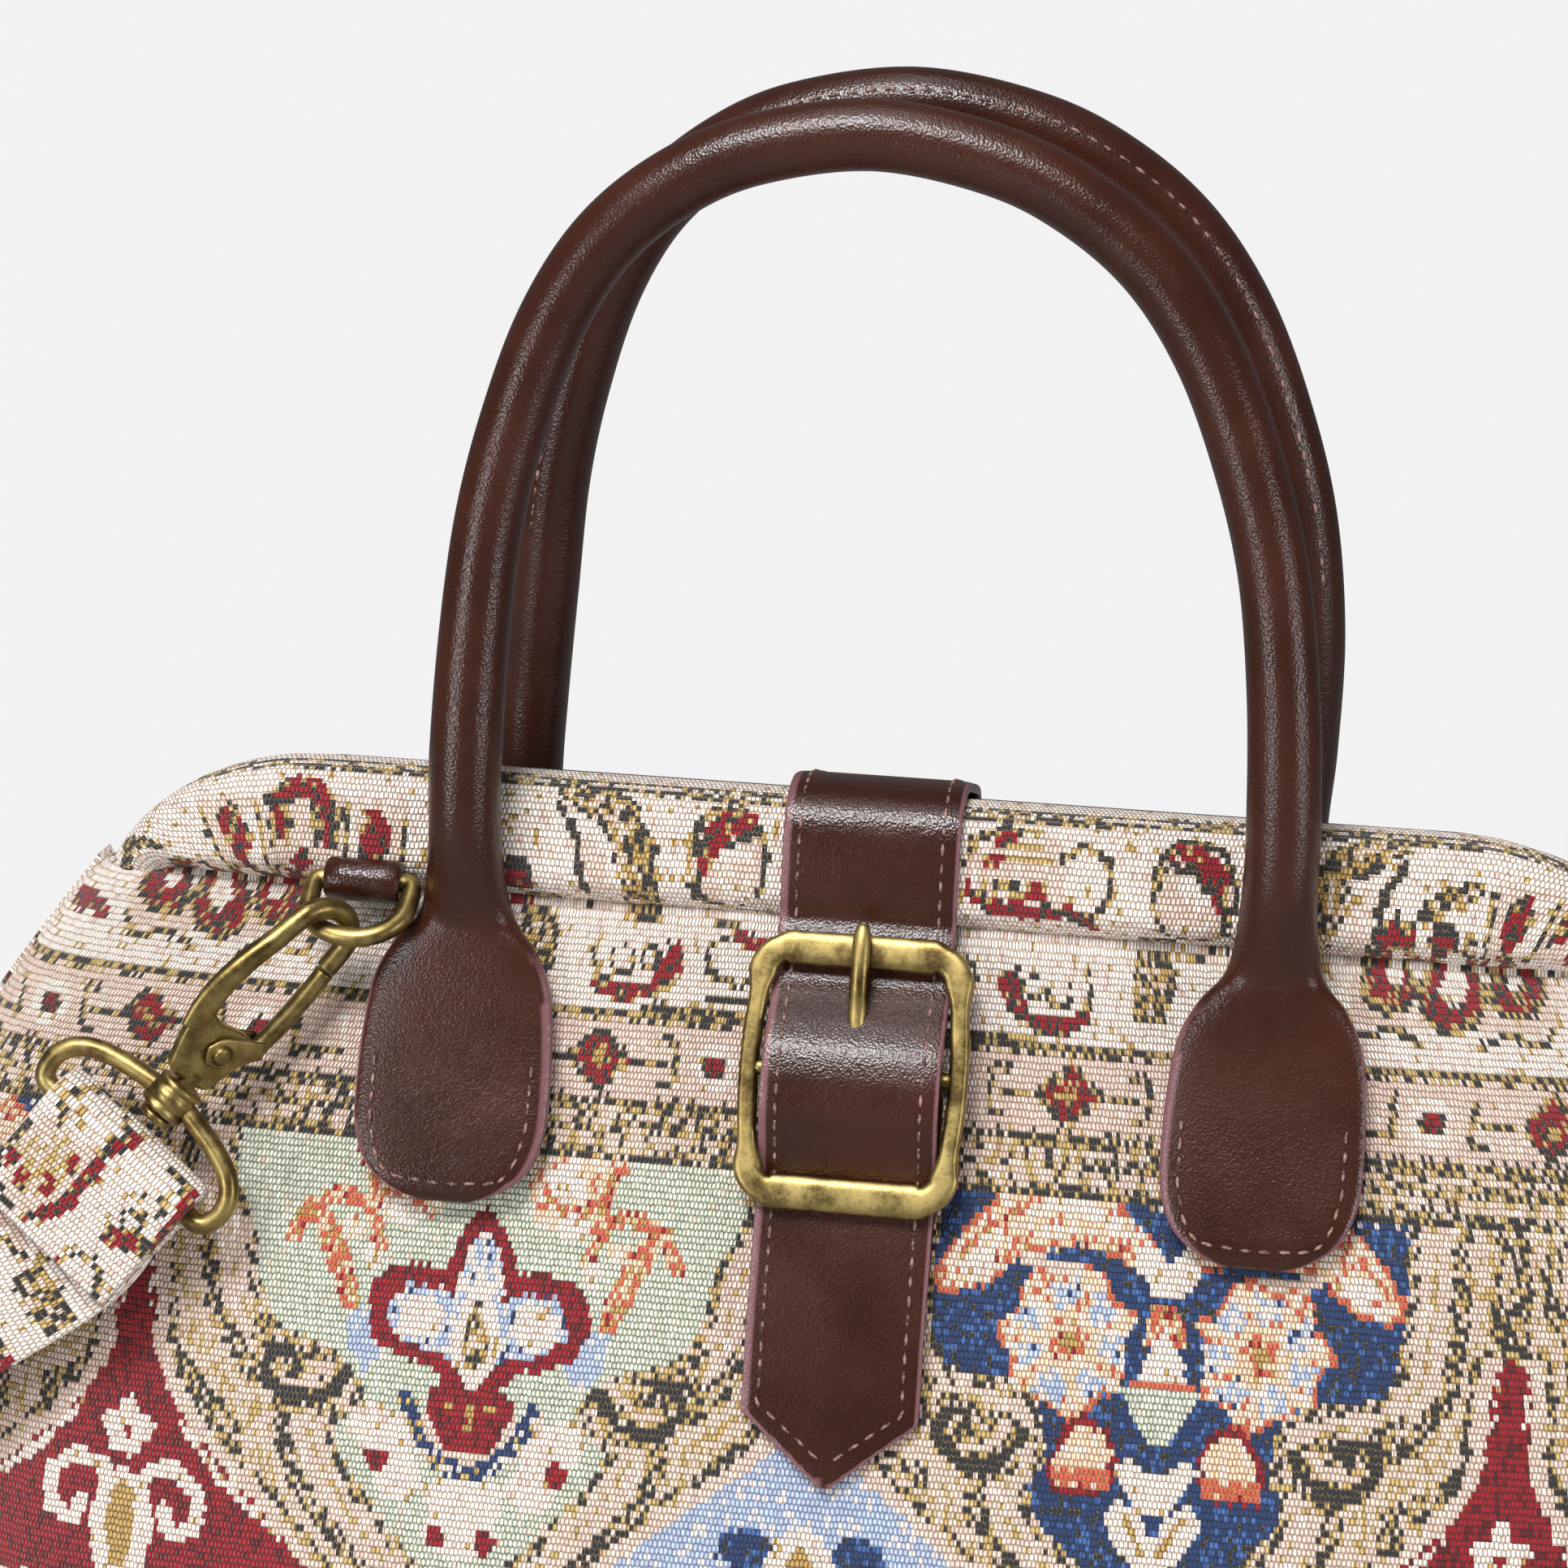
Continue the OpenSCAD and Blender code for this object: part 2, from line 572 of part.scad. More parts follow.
// Buckle frame: a rounded oblong with a centre bar
round_steps = 6;
function rounded(w, h, r) = [for (q = [0 : 3]) for (k = [0 : round_steps])
    let (f = 90 * q + 90 * k / round_steps)
    [(w / 2 - r) * (q == 0 || q == 3 ? 1 : -1) + r * cos(f), (h / 2 - r) * (q < 2 ? 1 : -1) + r * sin(f)]];
buckle_round = 9;
window_round = 4;
module buckle_frame() {
    color(brass)
        in_buckle_plane(frame_low) {
            difference() {
                linear_extrude(buckle_thick)
                    polygon(rounded(buckle_width, buckle_height, buckle_round));
                translate([0, 0, -buckle_thick])
                    linear_extrude(buckle_thick * 3)
                        polygon(rounded(buckle_width - buckle_side * 2, buckle_height - buckle_bar * 2,
                            window_round));
            }
            translate([0, 0, buckle_thick / 2])
                rotate([0, 90, 0])
                    cylinder(h = buckle_width - buckle_side, r = centre_bar, center = true, $fn = 32);
        }
}

// Prong: a loop on the centre bar and a shaft through the strap's hole, resting on the top bar
prong_width = 4.2;
prong_play = 0.3;
prong_shares = [[-0.02, 0.00], [0.10, 0.22], [0.22, 0.62], [0.33, 0.93], [0.41, 1.0], [0.49, 1.0],
    [0.53, 0.88]];
prong_taper_shares = [1, 1, 1, 0.97, 0.92, 0.82, 0.55];
prong_low = bar_d + centre_bar;
prong_high = frame_low + buckle_thick + prong_play + prong_radius;
prong_line = [for (k = [0 : len(prong_shares) - 1]) let (s = prong_shares[k])
    let (p = on_plane(buckle_mid - buckle_height * s[0], prong_low + (prong_high - prong_low) * s[1]))
    let (r = prong_radius * prong_taper_shares[k]) [[0, p[0], p[1]], r, r, 2, [1, 0, 0]]];
module buckle_prong() {
    color(brass)
        difference() {
            union() {
                swept(prong_line, 10);
                in_buckle_plane(bar_d)
                    rotate([0, 90, 0])
                        cylinder(h = prong_width, r = loop_radius - prong_play / 2, center = true, $fn = 32);
            }
            in_buckle_plane(bar_d)
                rotate([0, 90, 0])
                    cylinder(h = prong_width * 2, r = centre_bar + bar_play, center = true, $fn = 32);
        }
}

// Buckle tab: a leather strip sewn to the panel, folded round the centre bar on both sides of the prong
tab_tail_share = 0.72;
slot_width = 5;
slot_floor = 2.2;
slot_height = 20;
module buckle_tab() {
    color(leather)
        difference() {
            union() {
                in_buckle_plane(seam_gap)
                    translate([-strap_width / 2, -buckle_height * tab_tail_share, 0])
                        cube([strap_width, buckle_height * tab_tail_share + loop_radius, tab_thick]);
                in_buckle_plane(seam_gap)
                    translate([-strap_width / 2, -loop_radius, 0])
                        cube([strap_width, loop_radius * 2, bar_d - seam_gap]);
                in_buckle_plane(bar_d)
                    rotate([0, 90, 0])
                        cylinder(h = strap_width, r = loop_radius, center = true, $fn = 32);
            }
            in_buckle_plane(bar_d)
                rotate([0, 90, 0])
                    cylinder(h = strap_width * 2, r = centre_bar + bar_play, center = true, $fn = 32);
            in_buckle_plane(slot_floor)
                translate([-slot_width / 2, -loop_radius * 2, 0])
                    cube([slot_width, loop_radius * 4, slot_height]);
        }
}

// Ring tab: a leather loop caught in the casing's seam, with the ring's straight bar in its tube
ring_play = 0.05;
ring_side_play = 0.4;
ring_half = tab_length / 2 + ring_side_play + ring_wire;
ring_gap = 0.2;
ring_y = -(casing_front + seam_gap + tab_radius + ring_gap);
ring_rise = 5;
ring_z = seam_z + ring_rise;
tail_thick = 3;
tail_bite = 0.9;
ring_bar = [ring_x, ring_y, ring_z];
// The tail reaches the casing's face a little above its rounded lower edge
tail_end = casing_front + seam_gap - tail_bite;
module ring_tab() {
    difference() {
        union() {
            translate(ring_bar)
                rotate([0, 90, 0])
                    cylinder(h = tab_length, r = tab_radius, center = true, $fn = 48);
            translate([ring_x - tab_length / 2, ring_y, ring_z - tail_thick / 2])
                cube([tab_length, -ring_y - tail_end, tail_thick]);
        }
        translate(ring_bar)
            rotate([0, 90, 0])
                cylinder(h = tab_length * 2, r = ring_wire + ring_play, center = true, $fn = 48);
    }
}
module front_ring_tab() {
    color(leather)
        ring_tab();
}
module rear_ring_tab() {
    color(leather)
        rotate([0, 0, 180])
            ring_tab();
}

// D-ring: a straight bar and a round bow, tilted out from the seam
bow_share = 0.85;
bow_steps = 14;
ring_sides = 10;
ring_out = [0, -cos(ring_tilt), -sin(ring_tilt)];
ring_normal = cross([1, 0, 0], ring_out);
bow_leg = ring_depth - ring_half * bow_share;
ring_points = concat([[-ring_half, -ring_wire]],
    [for (k = [0 : bow_steps]) let (f = 180 * k / bow_steps)
        [-ring_half * cos(f), bow_leg + ring_half * bow_share * sin(f)]],
    [[ring_half, -ring_wire]]);
ring_stations = [for (p = ring_points)
    [ring_bar + [p[0], 0, 0] + ring_out * p[1], ring_wire, ring_wire, 2, ring_normal]];
module ring() {
    union() {
        swept(ring_stations, ring_sides);
        translate(ring_bar)
            rotate([0, 90, 0])
                cylinder(h = ring_half * 2, r = ring_wire, center = true, $fn = 48);
    }
}
module front_ring() {
    color(brass)
        ring();
}
module rear_ring() {
    color(brass)
        rotate([0, 0, 180])
            ring();
}

// Clasp frame: the axis from collar to eye, the sideways and outward directions of hook and bail
eye_back = [-7.3, -12.85, -10.15];
eye_middle = ring_bar + eye_back;
axis = [cos(clasp_slope) * cos(clasp_lean), sin(clasp_lean), sin(clasp_slope) * cos(clasp_lean)];
plain_side = unit(cross(axis, forward));
plain_out = cross(plain_side, axis);
collar = eye_middle - axis * eye_reach;
function side_of(roll) = plain_side * cos(roll) - plain_out * sin(roll);
function out_of(roll) = plain_out * cos(roll) + plain_side * sin(roll);
hook_side = side_of(hook_roll);
hook_out = out_of(hook_roll);
bail_side = side_of(bail_roll);
bail_out = out_of(bail_roll);
function on_hook(p) = collar + axis * p[0] + hook_side * p[1];
function on_bail(p) = collar + axis * p[0] + bail_side * p[1];
// Places a piece drawn with x along the clasp, y sideways and z out of it
module on_clasp(side, out) {
    multmatrix([[axis[0], side[0], out[0], collar[0]], [axis[1], side[1], out[1], collar[1]],
        [axis[2], side[2], out[2], collar[2]], [0, 0, 0, 1]])
        children();
}

// Bail: a collar for the hook's stem and a wide wire loop for the strap
collar_radius = 5.5;
collar_half = 4;
bar_reach = 16.5;
// Reach below the collar and half width, as shares
bail_shares = [[0.00, 0.13], [0.04, 0.32], [0.12, 0.58], [0.24, 0.80], [0.42, 0.94], [0.64, 1.00],
    [0.86, 0.985], [0.97, 0.93], [1.00, 0.82], [1.00, 0.40]];
bail_right = [for (s = bail_shares) [-bar_reach * s[0], bail_half * s[1]]];
bail_line = concat(bail_right,
    [for (k = [len(bail_right) - 1 : -1 : 0]) [bail_right[k][0], -bail_right[k][1]]]);
bail_stations = [for (p = bail_line) [on_bail(p), bail_wire, bail_wire, 2, bail_out]];
module bail() {
    difference() {
        union() {
            swept(bail_stations, ring_sides);
            on_clasp(bail_side, bail_out)
                translate([-collar_half, 0, 0])
                    rotate([0, 90, 0])
                        cylinder(h = collar_half * 2, r = collar_radius, $fn = 48);
        }
        on_clasp(bail_side, bail_out)
            translate([-collar_half * 2, 0, 0])
                rotate([0, 90, 0])
                    cylinder(h = collar_half * 4, r = stem_radius + ring_play, $fn = 48);
    }
}
module front_bail() {
    color(brass)
        bail();
}
module rear_bail() {
    color(brass)
        rotate([0, 0, 180])
            bail();
}

// Hook: a stem with a head under the collar, a flat plate and a wire bow
plate_thick = 3;
plate_low = 5;
plate_half = 9;
stem_head = 3.8;
head_height = 2.2;
head_play = 0.3;
pivot_along = 14.4;
// Plate outline: reach as a share of the eye's reach, side as a share of the plate's half width
plate_shares = [[0.105, -0.45], [0.16, -0.90], [0.34, -1.00], [0.52, -0.92], [0.52, -0.50], [0.42, 0.25],
    [0.36, 0.55], [0.18, 0.55], [0.105, 0.45]];
arm_shares = [[0.36, -0.75], [0.52, -0.88], [0.74, -0.97]];
arm_end_shares = [0.907, 1.04];
hook_line = concat([for (s = arm_shares) [eye_reach * s[0], eye_radius * s[1]]],
    [for (k = [0 : bow_steps]) let (f = 180 * k / bow_steps)
        [eye_reach + eye_radius * sin(f), -eye_radius * cos(f)]],
    [[eye_reach * arm_end_shares[0], eye_radius * arm_end_shares[1]]]);
hook_stations = [for (p = hook_line) [on_hook(p), hook_wire, hook_wire, 2, hook_out]];
module hook() {
    difference() {
        union() {
            swept(hook_stations, ring_sides);
            on_clasp(hook_side, hook_out) {
                translate([0, 0, -plate_thick / 2])
                    linear_extrude(plate_thick)
                        polygon([for (s = plate_shares) [eye_reach * s[0], plate_half * s[1]]]);
                translate([-collar_half - head_play, 0, 0])
                    rotate([0, 90, 0])
                        cylinder(h = collar_half + head_play + pivot_along / 2, r = stem_radius, $fn = 48);
                translate([-collar_half - head_play - head_height, 0, 0])
                    rotate([0, 90, 0])
                        cylinder(h = head_height, r = stem_head, $fn = 48);
            }
        }
        on_clasp(hook_side, hook_out)
            translate([pivot_along, 0, -plate_thick])
                cylinder(h = plate_thick * 2, r = gate_rivet + ring_play, $fn = 32);
    }
}
module front_hook() {
    color(brass)
        hook();
}
module rear_hook() {
    color(brass)
        rotate([0, 0, 180])
            hook();
}

// Gate: a sprung lever with two ears on the plate's rivet
gate_wire = 2.2;
ear_thick = 1.2;
ear_play = 0.3;
ear_radius = 4;
ear_far = [20, 8.6];
gate_shares = [[0.866, 1.10], [0.75, 1.16], [0.62, 1.19], [0.50, 1.17], [0.40, 1.10]];
gate_line = [for (s = gate_shares) [eye_reach * s[0], eye_radius * s[1]]];
gate_stations = [for (p = gate_line) [on_hook(p), gate_wire, gate_wire, 2, hook_out]];
ear_low = plate_thick / 2 + ear_play;
module gate() {
    union() {
        swept(gate_stations, ring_sides);
        on_clasp(hook_side, hook_out) {
            for (z = [ear_low, -ear_low - ear_thick])
                translate([0, 0, z])
                    hull() {
                        translate([pivot_along, 0, 0])
                            cylinder(h = ear_thick, r = ear_radius, $fn = 32);
                        translate([ear_far[0], ear_far[1], 0])
                            cylinder(h = ear_thick, r = gate_wire, $fn = 32);
                    }
            translate([pivot_along, 0, -ear_low - ear_thick / 2])
                cylinder(h = ear_low * 2 + ear_thick, r = gate_rivet, $fn = 32);
        }
    }
}
module front_gate() {
    color(brass)
        gate();
}
module rear_gate() {
    color(brass)
        rotate([0, 0, 180])
            gate();
}

// Shoulder strap: folded round both bail bars, down the left side, behind the body and up the right side
fold_play = 0.5;
fold_radius = bail_wire + fold_play + sling_thick / 2;
flap_length = 26;
lay = sling_thick / 2 + seam_gap;
// Fold at the front bail, reach past the bar and offset out of the bail's plane
fold_steps = 6;
fold = concat([[flap_length, lay], [flap_length / 2, lay + seam_gap]],
    [for (k = [0 : fold_steps]) let (f = 90 - 180 * k / fold_steps)
        [-fold_radius * cos(f), fold_radius * sin(f)]],
    [[flap_length / 2, -lay - seam_gap], [flap_length, -lay]]);
function fold_point(p) = collar - axis * (bar_reach + p[0]) + bail_out * p[1];
turn = [[-1, 0, 0], [0, -1, 0], [0, 0, 1]];
// Free route between the two folds, in round numbers
route = [[-210, -60, 134], [-230, -34, 104], [-238, 6, 70], [-226, 54, 40], [-194, 98, 24], [-140, 128, 21],
    [-80, 150, 21], [-10, 165, 21], [60, 172, 21], [125, 170, 22], [180, 156, 30], [218, 132, 52],
    [230, 104, 86], [216, 80, 120]];
sling_points = concat([for (p = fold) fold_point(p)], route,
    [for (k = [len(fold) - 1 : -1 : 0]) turn * fold_point(fold[k])]);
fold_count = len(fold);
route_count = len(route);
// Facing of the strap: the bail's side at the folds, level in between
function sling_along(i) = unit(sling_points[min(i + 1, len(sling_points) - 1)] - sling_points[max(i - 1, 0)]);
function sling_facing(i) = i < fold_count ? cross(sling_along(i), bail_side) :
    i >= fold_count + route_count ? cross(sling_along(i), turn * bail_side) :
    cross(sling_along(i), [0, 0, -1]);
sling_square = 6;
sling_stations = [for (i = [0 : len(sling_points) - 1])
    [sling_points[i], sling_width / 2, sling_thick / 2, sling_square, sling_facing(i)]];
module shoulder_strap() {
    color(tapestry)
        swept(sling_stations, 12);
}

front_panel();
back_panel();
left_gusset();
right_gusset();
base_panel();
base_board();
base_feet();
lining();
front_frame();
back_frame();
hinge_rivets();
front_casing();
back_casing();
front_handle();
back_handle();
closure_strap();
buckle_frame();
buckle_prong();
buckle_tab();
front_ring_tab();
rear_ring_tab();
front_ring();
rear_ring();
front_bail();
rear_bail();
front_hook();
rear_hook();
front_gate();
rear_gate();
shoulder_strap();
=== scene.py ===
import bpy, bmesh, math
import numpy as np
from mathutils import Matrix, Vector


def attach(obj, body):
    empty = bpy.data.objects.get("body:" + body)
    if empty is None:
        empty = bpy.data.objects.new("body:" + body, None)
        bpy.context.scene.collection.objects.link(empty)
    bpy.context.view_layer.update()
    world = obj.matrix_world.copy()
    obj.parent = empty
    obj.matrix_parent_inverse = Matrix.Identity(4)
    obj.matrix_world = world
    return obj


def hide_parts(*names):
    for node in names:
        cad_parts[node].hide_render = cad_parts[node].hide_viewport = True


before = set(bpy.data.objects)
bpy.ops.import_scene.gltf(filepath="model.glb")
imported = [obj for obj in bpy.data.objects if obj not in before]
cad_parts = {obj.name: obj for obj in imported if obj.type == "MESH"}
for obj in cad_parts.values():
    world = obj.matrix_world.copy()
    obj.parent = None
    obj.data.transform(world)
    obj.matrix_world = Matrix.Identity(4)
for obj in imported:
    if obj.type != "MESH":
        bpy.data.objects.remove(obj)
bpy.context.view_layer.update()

# Studio: a pale paper floor that runs on behind the bag, a plain grey-white surround, one large
# soft lamp above the front, two weaker ones at the sides and a faint broad sun overhead.
# Colours show as they are written.
scene = bpy.context.scene
scene.view_settings.view_transform = "Standard"
paper_grey, mirrored_grey, paper_level = (0.90, 0.90, 0.90, 1.0), (0.28, 0.28, 0.28, 1.0), 0.888
surround = bpy.data.worlds.new("surround")
scene.world = surround
surround.use_nodes = True
tree = surround.node_tree
air = tree.nodes["Background"]
air.inputs["Color"].default_value = (0.96, 0.97, 1.0, 1.0)
air.inputs["Strength"].default_value = 0.17
seen_air = tree.nodes.new("ShaderNodeBackground")
seen_air.inputs["Color"].default_value = (1.0, 1.0, 1.0, 1.0)
seen_air.inputs["Strength"].default_value = paper_level
seen_by = tree.nodes.new("ShaderNodeLightPath")
choice = tree.nodes.new("ShaderNodeMixShader")
tree.links.new(seen_by.outputs["Is Camera Ray"], choice.inputs[0])
tree.links.new(air.outputs[0], choice.inputs[1])
tree.links.new(seen_air.outputs[0], choice.inputs[2])
tree.links.new(choice.outputs[0], tree.nodes["World Output"].inputs["Surface"])

# Paper floor: plain near the bag, where its shadow falls, and evenly lit from a step away. In
# reflections it is darker, so that leather and brass keep the dark side of their sheen.
paper = bpy.data.materials.new("paper")
paper.use_nodes = True
tree = paper.node_tree
paper_look = tree.nodes["Principled BSDF"]
paper_look.inputs["Roughness"].default_value = 0.9
paper_look.inputs["Specular IOR Level"].default_value = 0.0
even = tree.nodes.new("ShaderNodeEmission")
even.inputs["Color"].default_value = (1.0, 1.0, 1.0, 1.0)
even.inputs["Strength"].default_value = paper_level
ground = tree.nodes.new("ShaderNodeTexCoord")
reach = tree.nodes.new("ShaderNodeVectorMath")
reach.operation = "LENGTH"
tree.links.new(ground.outputs["Object"], reach.inputs[0])
away = tree.nodes.new("ShaderNodeMapRange")
away.interpolation_type = "SMOOTHSTEP"
away.inputs["From Min"].default_value, away.inputs["From Max"].default_value = 0.30, 0.75
tree.links.new(reach.outputs["Value"], away.inputs["Value"])
ray = tree.nodes.new("ShaderNodeLightPath")
paper_tone = tree.nodes.new("ShaderNodeMix")
paper_tone.data_type = "RGBA"
paper_tone.inputs[6].default_value = paper_grey
paper_tone.inputs[7].default_value = mirrored_grey
tree.links.new(ray.outputs["Is Glossy Ray"], paper_tone.inputs[0])
tree.links.new(paper_tone.outputs[2], paper_look.inputs["Base Color"])
share = tree.nodes.new("ShaderNodeMath")
share.operation = "MULTIPLY"
tree.links.new(ray.outputs["Is Camera Ray"], share.inputs[0])
tree.links.new(away.outputs["Result"], share.inputs[1])
choice = tree.nodes.new("ShaderNodeMixShader")
tree.links.new(share.outputs[0], choice.inputs[0])
tree.links.new(paper_look.outputs[0], choice.inputs[1])
tree.links.new(even.outputs[0], choice.inputs[2])
tree.links.new(choice.outputs[0], tree.nodes["Material Output"].inputs["Surface"])


def object_from(name, bm):
    # Smooth-shaded object from a finished bmesh
    mesh = bpy.data.meshes.new(name)
    bm.to_mesh(mesh)
    bm.free()
    mesh.shade_smooth()
    piece = bpy.data.objects.new(name, mesh)
    scene.collection.objects.link(piece)
    return piece


bm = bmesh.new()
bmesh.ops.create_grid(bm, x_segments=1, y_segments=1, size=30.0)
floor = object_from("floor", bm)
floor.data.materials.append(paper)


def soft_lamp(name, place, aim, size, power):
    lamp = bpy.data.lights.new(name, "AREA")
    lamp.shape, lamp.size, lamp.size_y, lamp.energy = "RECTANGLE", size[0], size[1], power
    holder = bpy.data.objects.new(name, lamp)
    holder.location = place
    holder.rotation_euler = (Vector(aim) - Vector(place)).to_track_quat("-Z", "Y").to_euler()
    scene.collection.objects.link(holder)


sky = bpy.data.lights.new("sky_lamp", "SUN")
sky.energy, sky.angle = 0.5, math.radians(24)
sky_holder = bpy.data.objects.new("sky_lamp", sky)
sky_holder.rotation_euler = (math.radians(4), math.radians(-6), 0)
scene.collection.objects.link(sky_holder)
soft_lamp("key_box", (-0.35, -1.25, 1.85), (0, 0, 0.2), (0.8, 0.6), 58.0)
soft_lamp("left_box", (-1.2, -1.6, 0.35), (0, 0, 0.25), (0.5, 0.7), 13.0)
soft_lamp("right_box", (1.7, -1.0, 0.4), (0, 0, 0.25), (0.4, 0.7), 10.0)

# Camera: a long lens a little above the bag and to its right, rolled slightly. It was fitted to the
# photograph with the bag standing on the floor.
photo_side, focal_pixels, sensor = 1932, 4920.2, 36.0
azimuth, elevation, roll = math.radians(7.935), math.radians(14.871), math.radians(1.954)
aim, distance = Vector((-0.022767, 0.0, 0.259028)), 0.88537
back = Vector((math.sin(azimuth) * math.cos(elevation), -math.cos(azimuth) * math.cos(elevation),
               math.sin(elevation)))
level = (-back).cross(Vector((0, 0, 1))).normalized()
upright = level.cross(-back)
right = level * math.cos(roll) + upright * math.sin(roll)
up = upright * math.cos(roll) - level * math.sin(roll)
lens = bpy.data.cameras.new("camera")
lens.sensor_width, lens.lens = sensor, focal_pixels / photo_side * sensor
camera = bpy.data.objects.new("camera", lens)
turned_to = Matrix((right, up, back)).transposed().to_4x4()
camera.matrix_world = Matrix.Translation(aim + back * distance) @ turned_to
scene.collection.objects.link(camera)
scene.camera = camera

# Shoulder strap: two layers of the bag's tapestry, seamed flat, 40 mm wide. Each end is folded round
# the bar of its clasp's bail and sewn down. The strap hangs at the left and runs behind the bag, on edge.
MM = 0.001


def flow(stations, count):
    # Smooth even line through stations whose first three columns are a place
    p = np.vstack([2 * stations[0] - stations[1], stations, 2 * stations[-1] - stations[-2]])
    t = np.linspace(0, 1, 24, endpoint=False)[:, None]
    runs = [0.5 * (2 * b + (c - a) * t + (2 * a - 5 * b + 4 * c - d) * t ** 2
                   + (3 * b - a - 3 * c + d) * t ** 3)
            for a, b, c, d in zip(p, p[1:], p[2:], p[3:])]
    fine = np.vstack(runs + [stations[-1:]])
    run = np.concatenate([[0], np.cumsum(np.linalg.norm(np.diff(fine[:, :3], axis=0), axis=1))])
    even = np.linspace(0, run[-1], count)
    return np.column_stack([np.interp(even, run, column) for column in fine.T])


def laid(name, points, uv):
    # Grid of quads on rows and columns of points in millimetres; also gives each quad's row and column
    rows, cols = points.shape[:2]
    bm = bmesh.new()
    bmesh.ops.create_grid(bm, x_segments=cols - 1, y_segments=rows - 1, size=1.0)
    piece = object_from(name, bm)
    mesh = piece.data
    flat = np.empty(len(mesh.vertices) * 3)
    mesh.vertices.foreach_get("co", flat)
    ix = np.rint((flat[0::3] + 1) / 2 * (cols - 1)).astype(int)
    iy = np.rint((flat[1::3] + 1) / 2 * (rows - 1)).astype(int)
    mesh.vertices.foreach_set("co", (points[iy, ix] * MM).ravel())
    corner = np.empty(len(mesh.loops), int)
    mesh.loops.foreach_get("vertex_index", corner)
    mesh.uv_layers.new(name="stitch").uv.foreach_set("vector", uv[iy[corner], ix[corner]].ravel())
    cell = (iy[corner].reshape(-1, 4).min(1), ix[corner].reshape(-1, 4).min(1))
    return piece, cell


def finish_roll(piece):
    # Merges the seam of a rolled grid, closes its ends and turns its faces outwards
    bm = bmesh.new()
    bm.from_mesh(piece.data)
    bmesh.ops.remove_doubles(bm, verts=bm.verts, dist=2e-6)
    bmesh.ops.holes_fill(bm, edges=[e for e in bm.edges if e.is_boundary], sides=0)
    bmesh.ops.recalc_face_normals(bm, faces=bm.faces)
    bm.to_mesh(piece.data)
    bm.free()


def hoops(line, facing, half_width, half_thick, square, sides):
    # Rows of points round a line: flat or round section, its thickness along the facing
    ahead = np.gradient(line, axis=0)
    ahead /= np.linalg.norm(ahead, axis=1)[:, None]
    out = facing - (facing * ahead).sum(1)[:, None] * ahead
    out /= np.linalg.norm(out, axis=1)[:, None]
    wide = np.cross(out, ahead)
    f = np.linspace(0, 2 * np.pi, sides + 1)
    power = 2 / np.broadcast_to(square, len(line))[:, None]
    c, s = np.cos(f)[None], np.sin(f)[None]
    c, s = np.sign(c) * np.abs(c) ** power, np.sign(s) * np.abs(s) ** power
    half_width = np.broadcast_to(half_width, len(line))[:, None]
    half_thick = np.broadcast_to(half_thick, len(line))[:, None]
    sideways = wide[:, None] * (half_width * c)[..., None]
    return line[:, None] + sideways + out[:, None] * (half_thick * s)[..., None]


def unit(v):
    return np.array(v) / np.linalg.norm(v)


# Clasp frame, as in the solids: ring bar, eye, axis from collar to eye, sides of hook and bail
ring_bar = np.array([-111.0, -27.55, 238.0])
clasp_slope, clasp_lean, eye_reach = math.radians(50), math.radians(15), 46.9
eye_middle = ring_bar + (-7.3, -12.85, -10.15)
axis = np.array([math.cos(clasp_slope) * math.cos(clasp_lean), math.sin(clasp_lean),
                 math.sin(clasp_slope) * math.cos(clasp_lean)])
collar = eye_middle - axis * eye_reach
plain_side = unit(np.cross(axis, (0, -1, 0)))
plain_out = np.cross(plain_side, axis)


def rolled_by(degrees):
    c, s = math.cos(math.radians(degrees)), math.sin(math.radians(degrees))
    return plain_side * c - plain_out * s, plain_out * c + plain_side * s


bail_side, bail_out = rolled_by(-8)
half_turn = np.diag([-1.0, -1.0, 1.0])

# Yarns of the tapestry: colour of the pile, then colour of the thread that binds it
yarns = {
    "cream": ("F6E9E0", "B48E5A"), "rose": ("E6C9BC", "9A7A4C"), "red": ("940616", "3A060C"),
    "black": ("25252A", "8C7440"), "gold": ("C09A54", "3A3024"), "navy": ("1D3766", "10121A"),
    "mint": ("CDD1BC", "46503C"), "coral": ("CC5A44", "C9A052"), "sky": ("B4C2DC", "5C6A96"),
    "peach": ("EFCFAE", "B9713F"), "beige": ("E6CDBC", "A08452"), "tan": ("C6A666", "4A4030"),
    "wine": ("62060F", "2A0408"), "azure": ("3C63A2", "10121A"), "leaf": ("DDE3CE", "46503C"),
}
# Mixed yarns: stitches of several colours side by side, with their shares
mixes = {
    "ribbon": (("beige", 0.66), ("tan", 0.20), ("rose", 0.14)),
    "comb": (("black", 0.66), ("tan", 0.24), ("beige", 0.10)),
    "speckle": (("black", 0.38), ("tan", 0.34), ("beige", 0.28)),
    "scroll": (("coral", 0.46), ("peach", 0.34), ("gold", 0.12), ("red", 0.08)),
    "blush": (("peach", 0.50), ("cream", 0.34), ("coral", 0.16)),
    "thread": (("black", 0.60), ("tan", 0.40)),
    "stripe": (("rose", 0.60), ("beige", 0.30), ("cream", 0.10)),
    "garnet": (("red", 0.64), ("black", 0.24), ("tan", 0.12)),
    "gilt": (("gold", 0.36), ("beige", 0.38), ("black", 0.26)),
    "mist": (("sky", 0.54), ("cream", 0.40), ("navy", 0.06)),
    "dusk": (("navy", 0.72), ("tan", 0.14), ("cream", 0.14)),
}
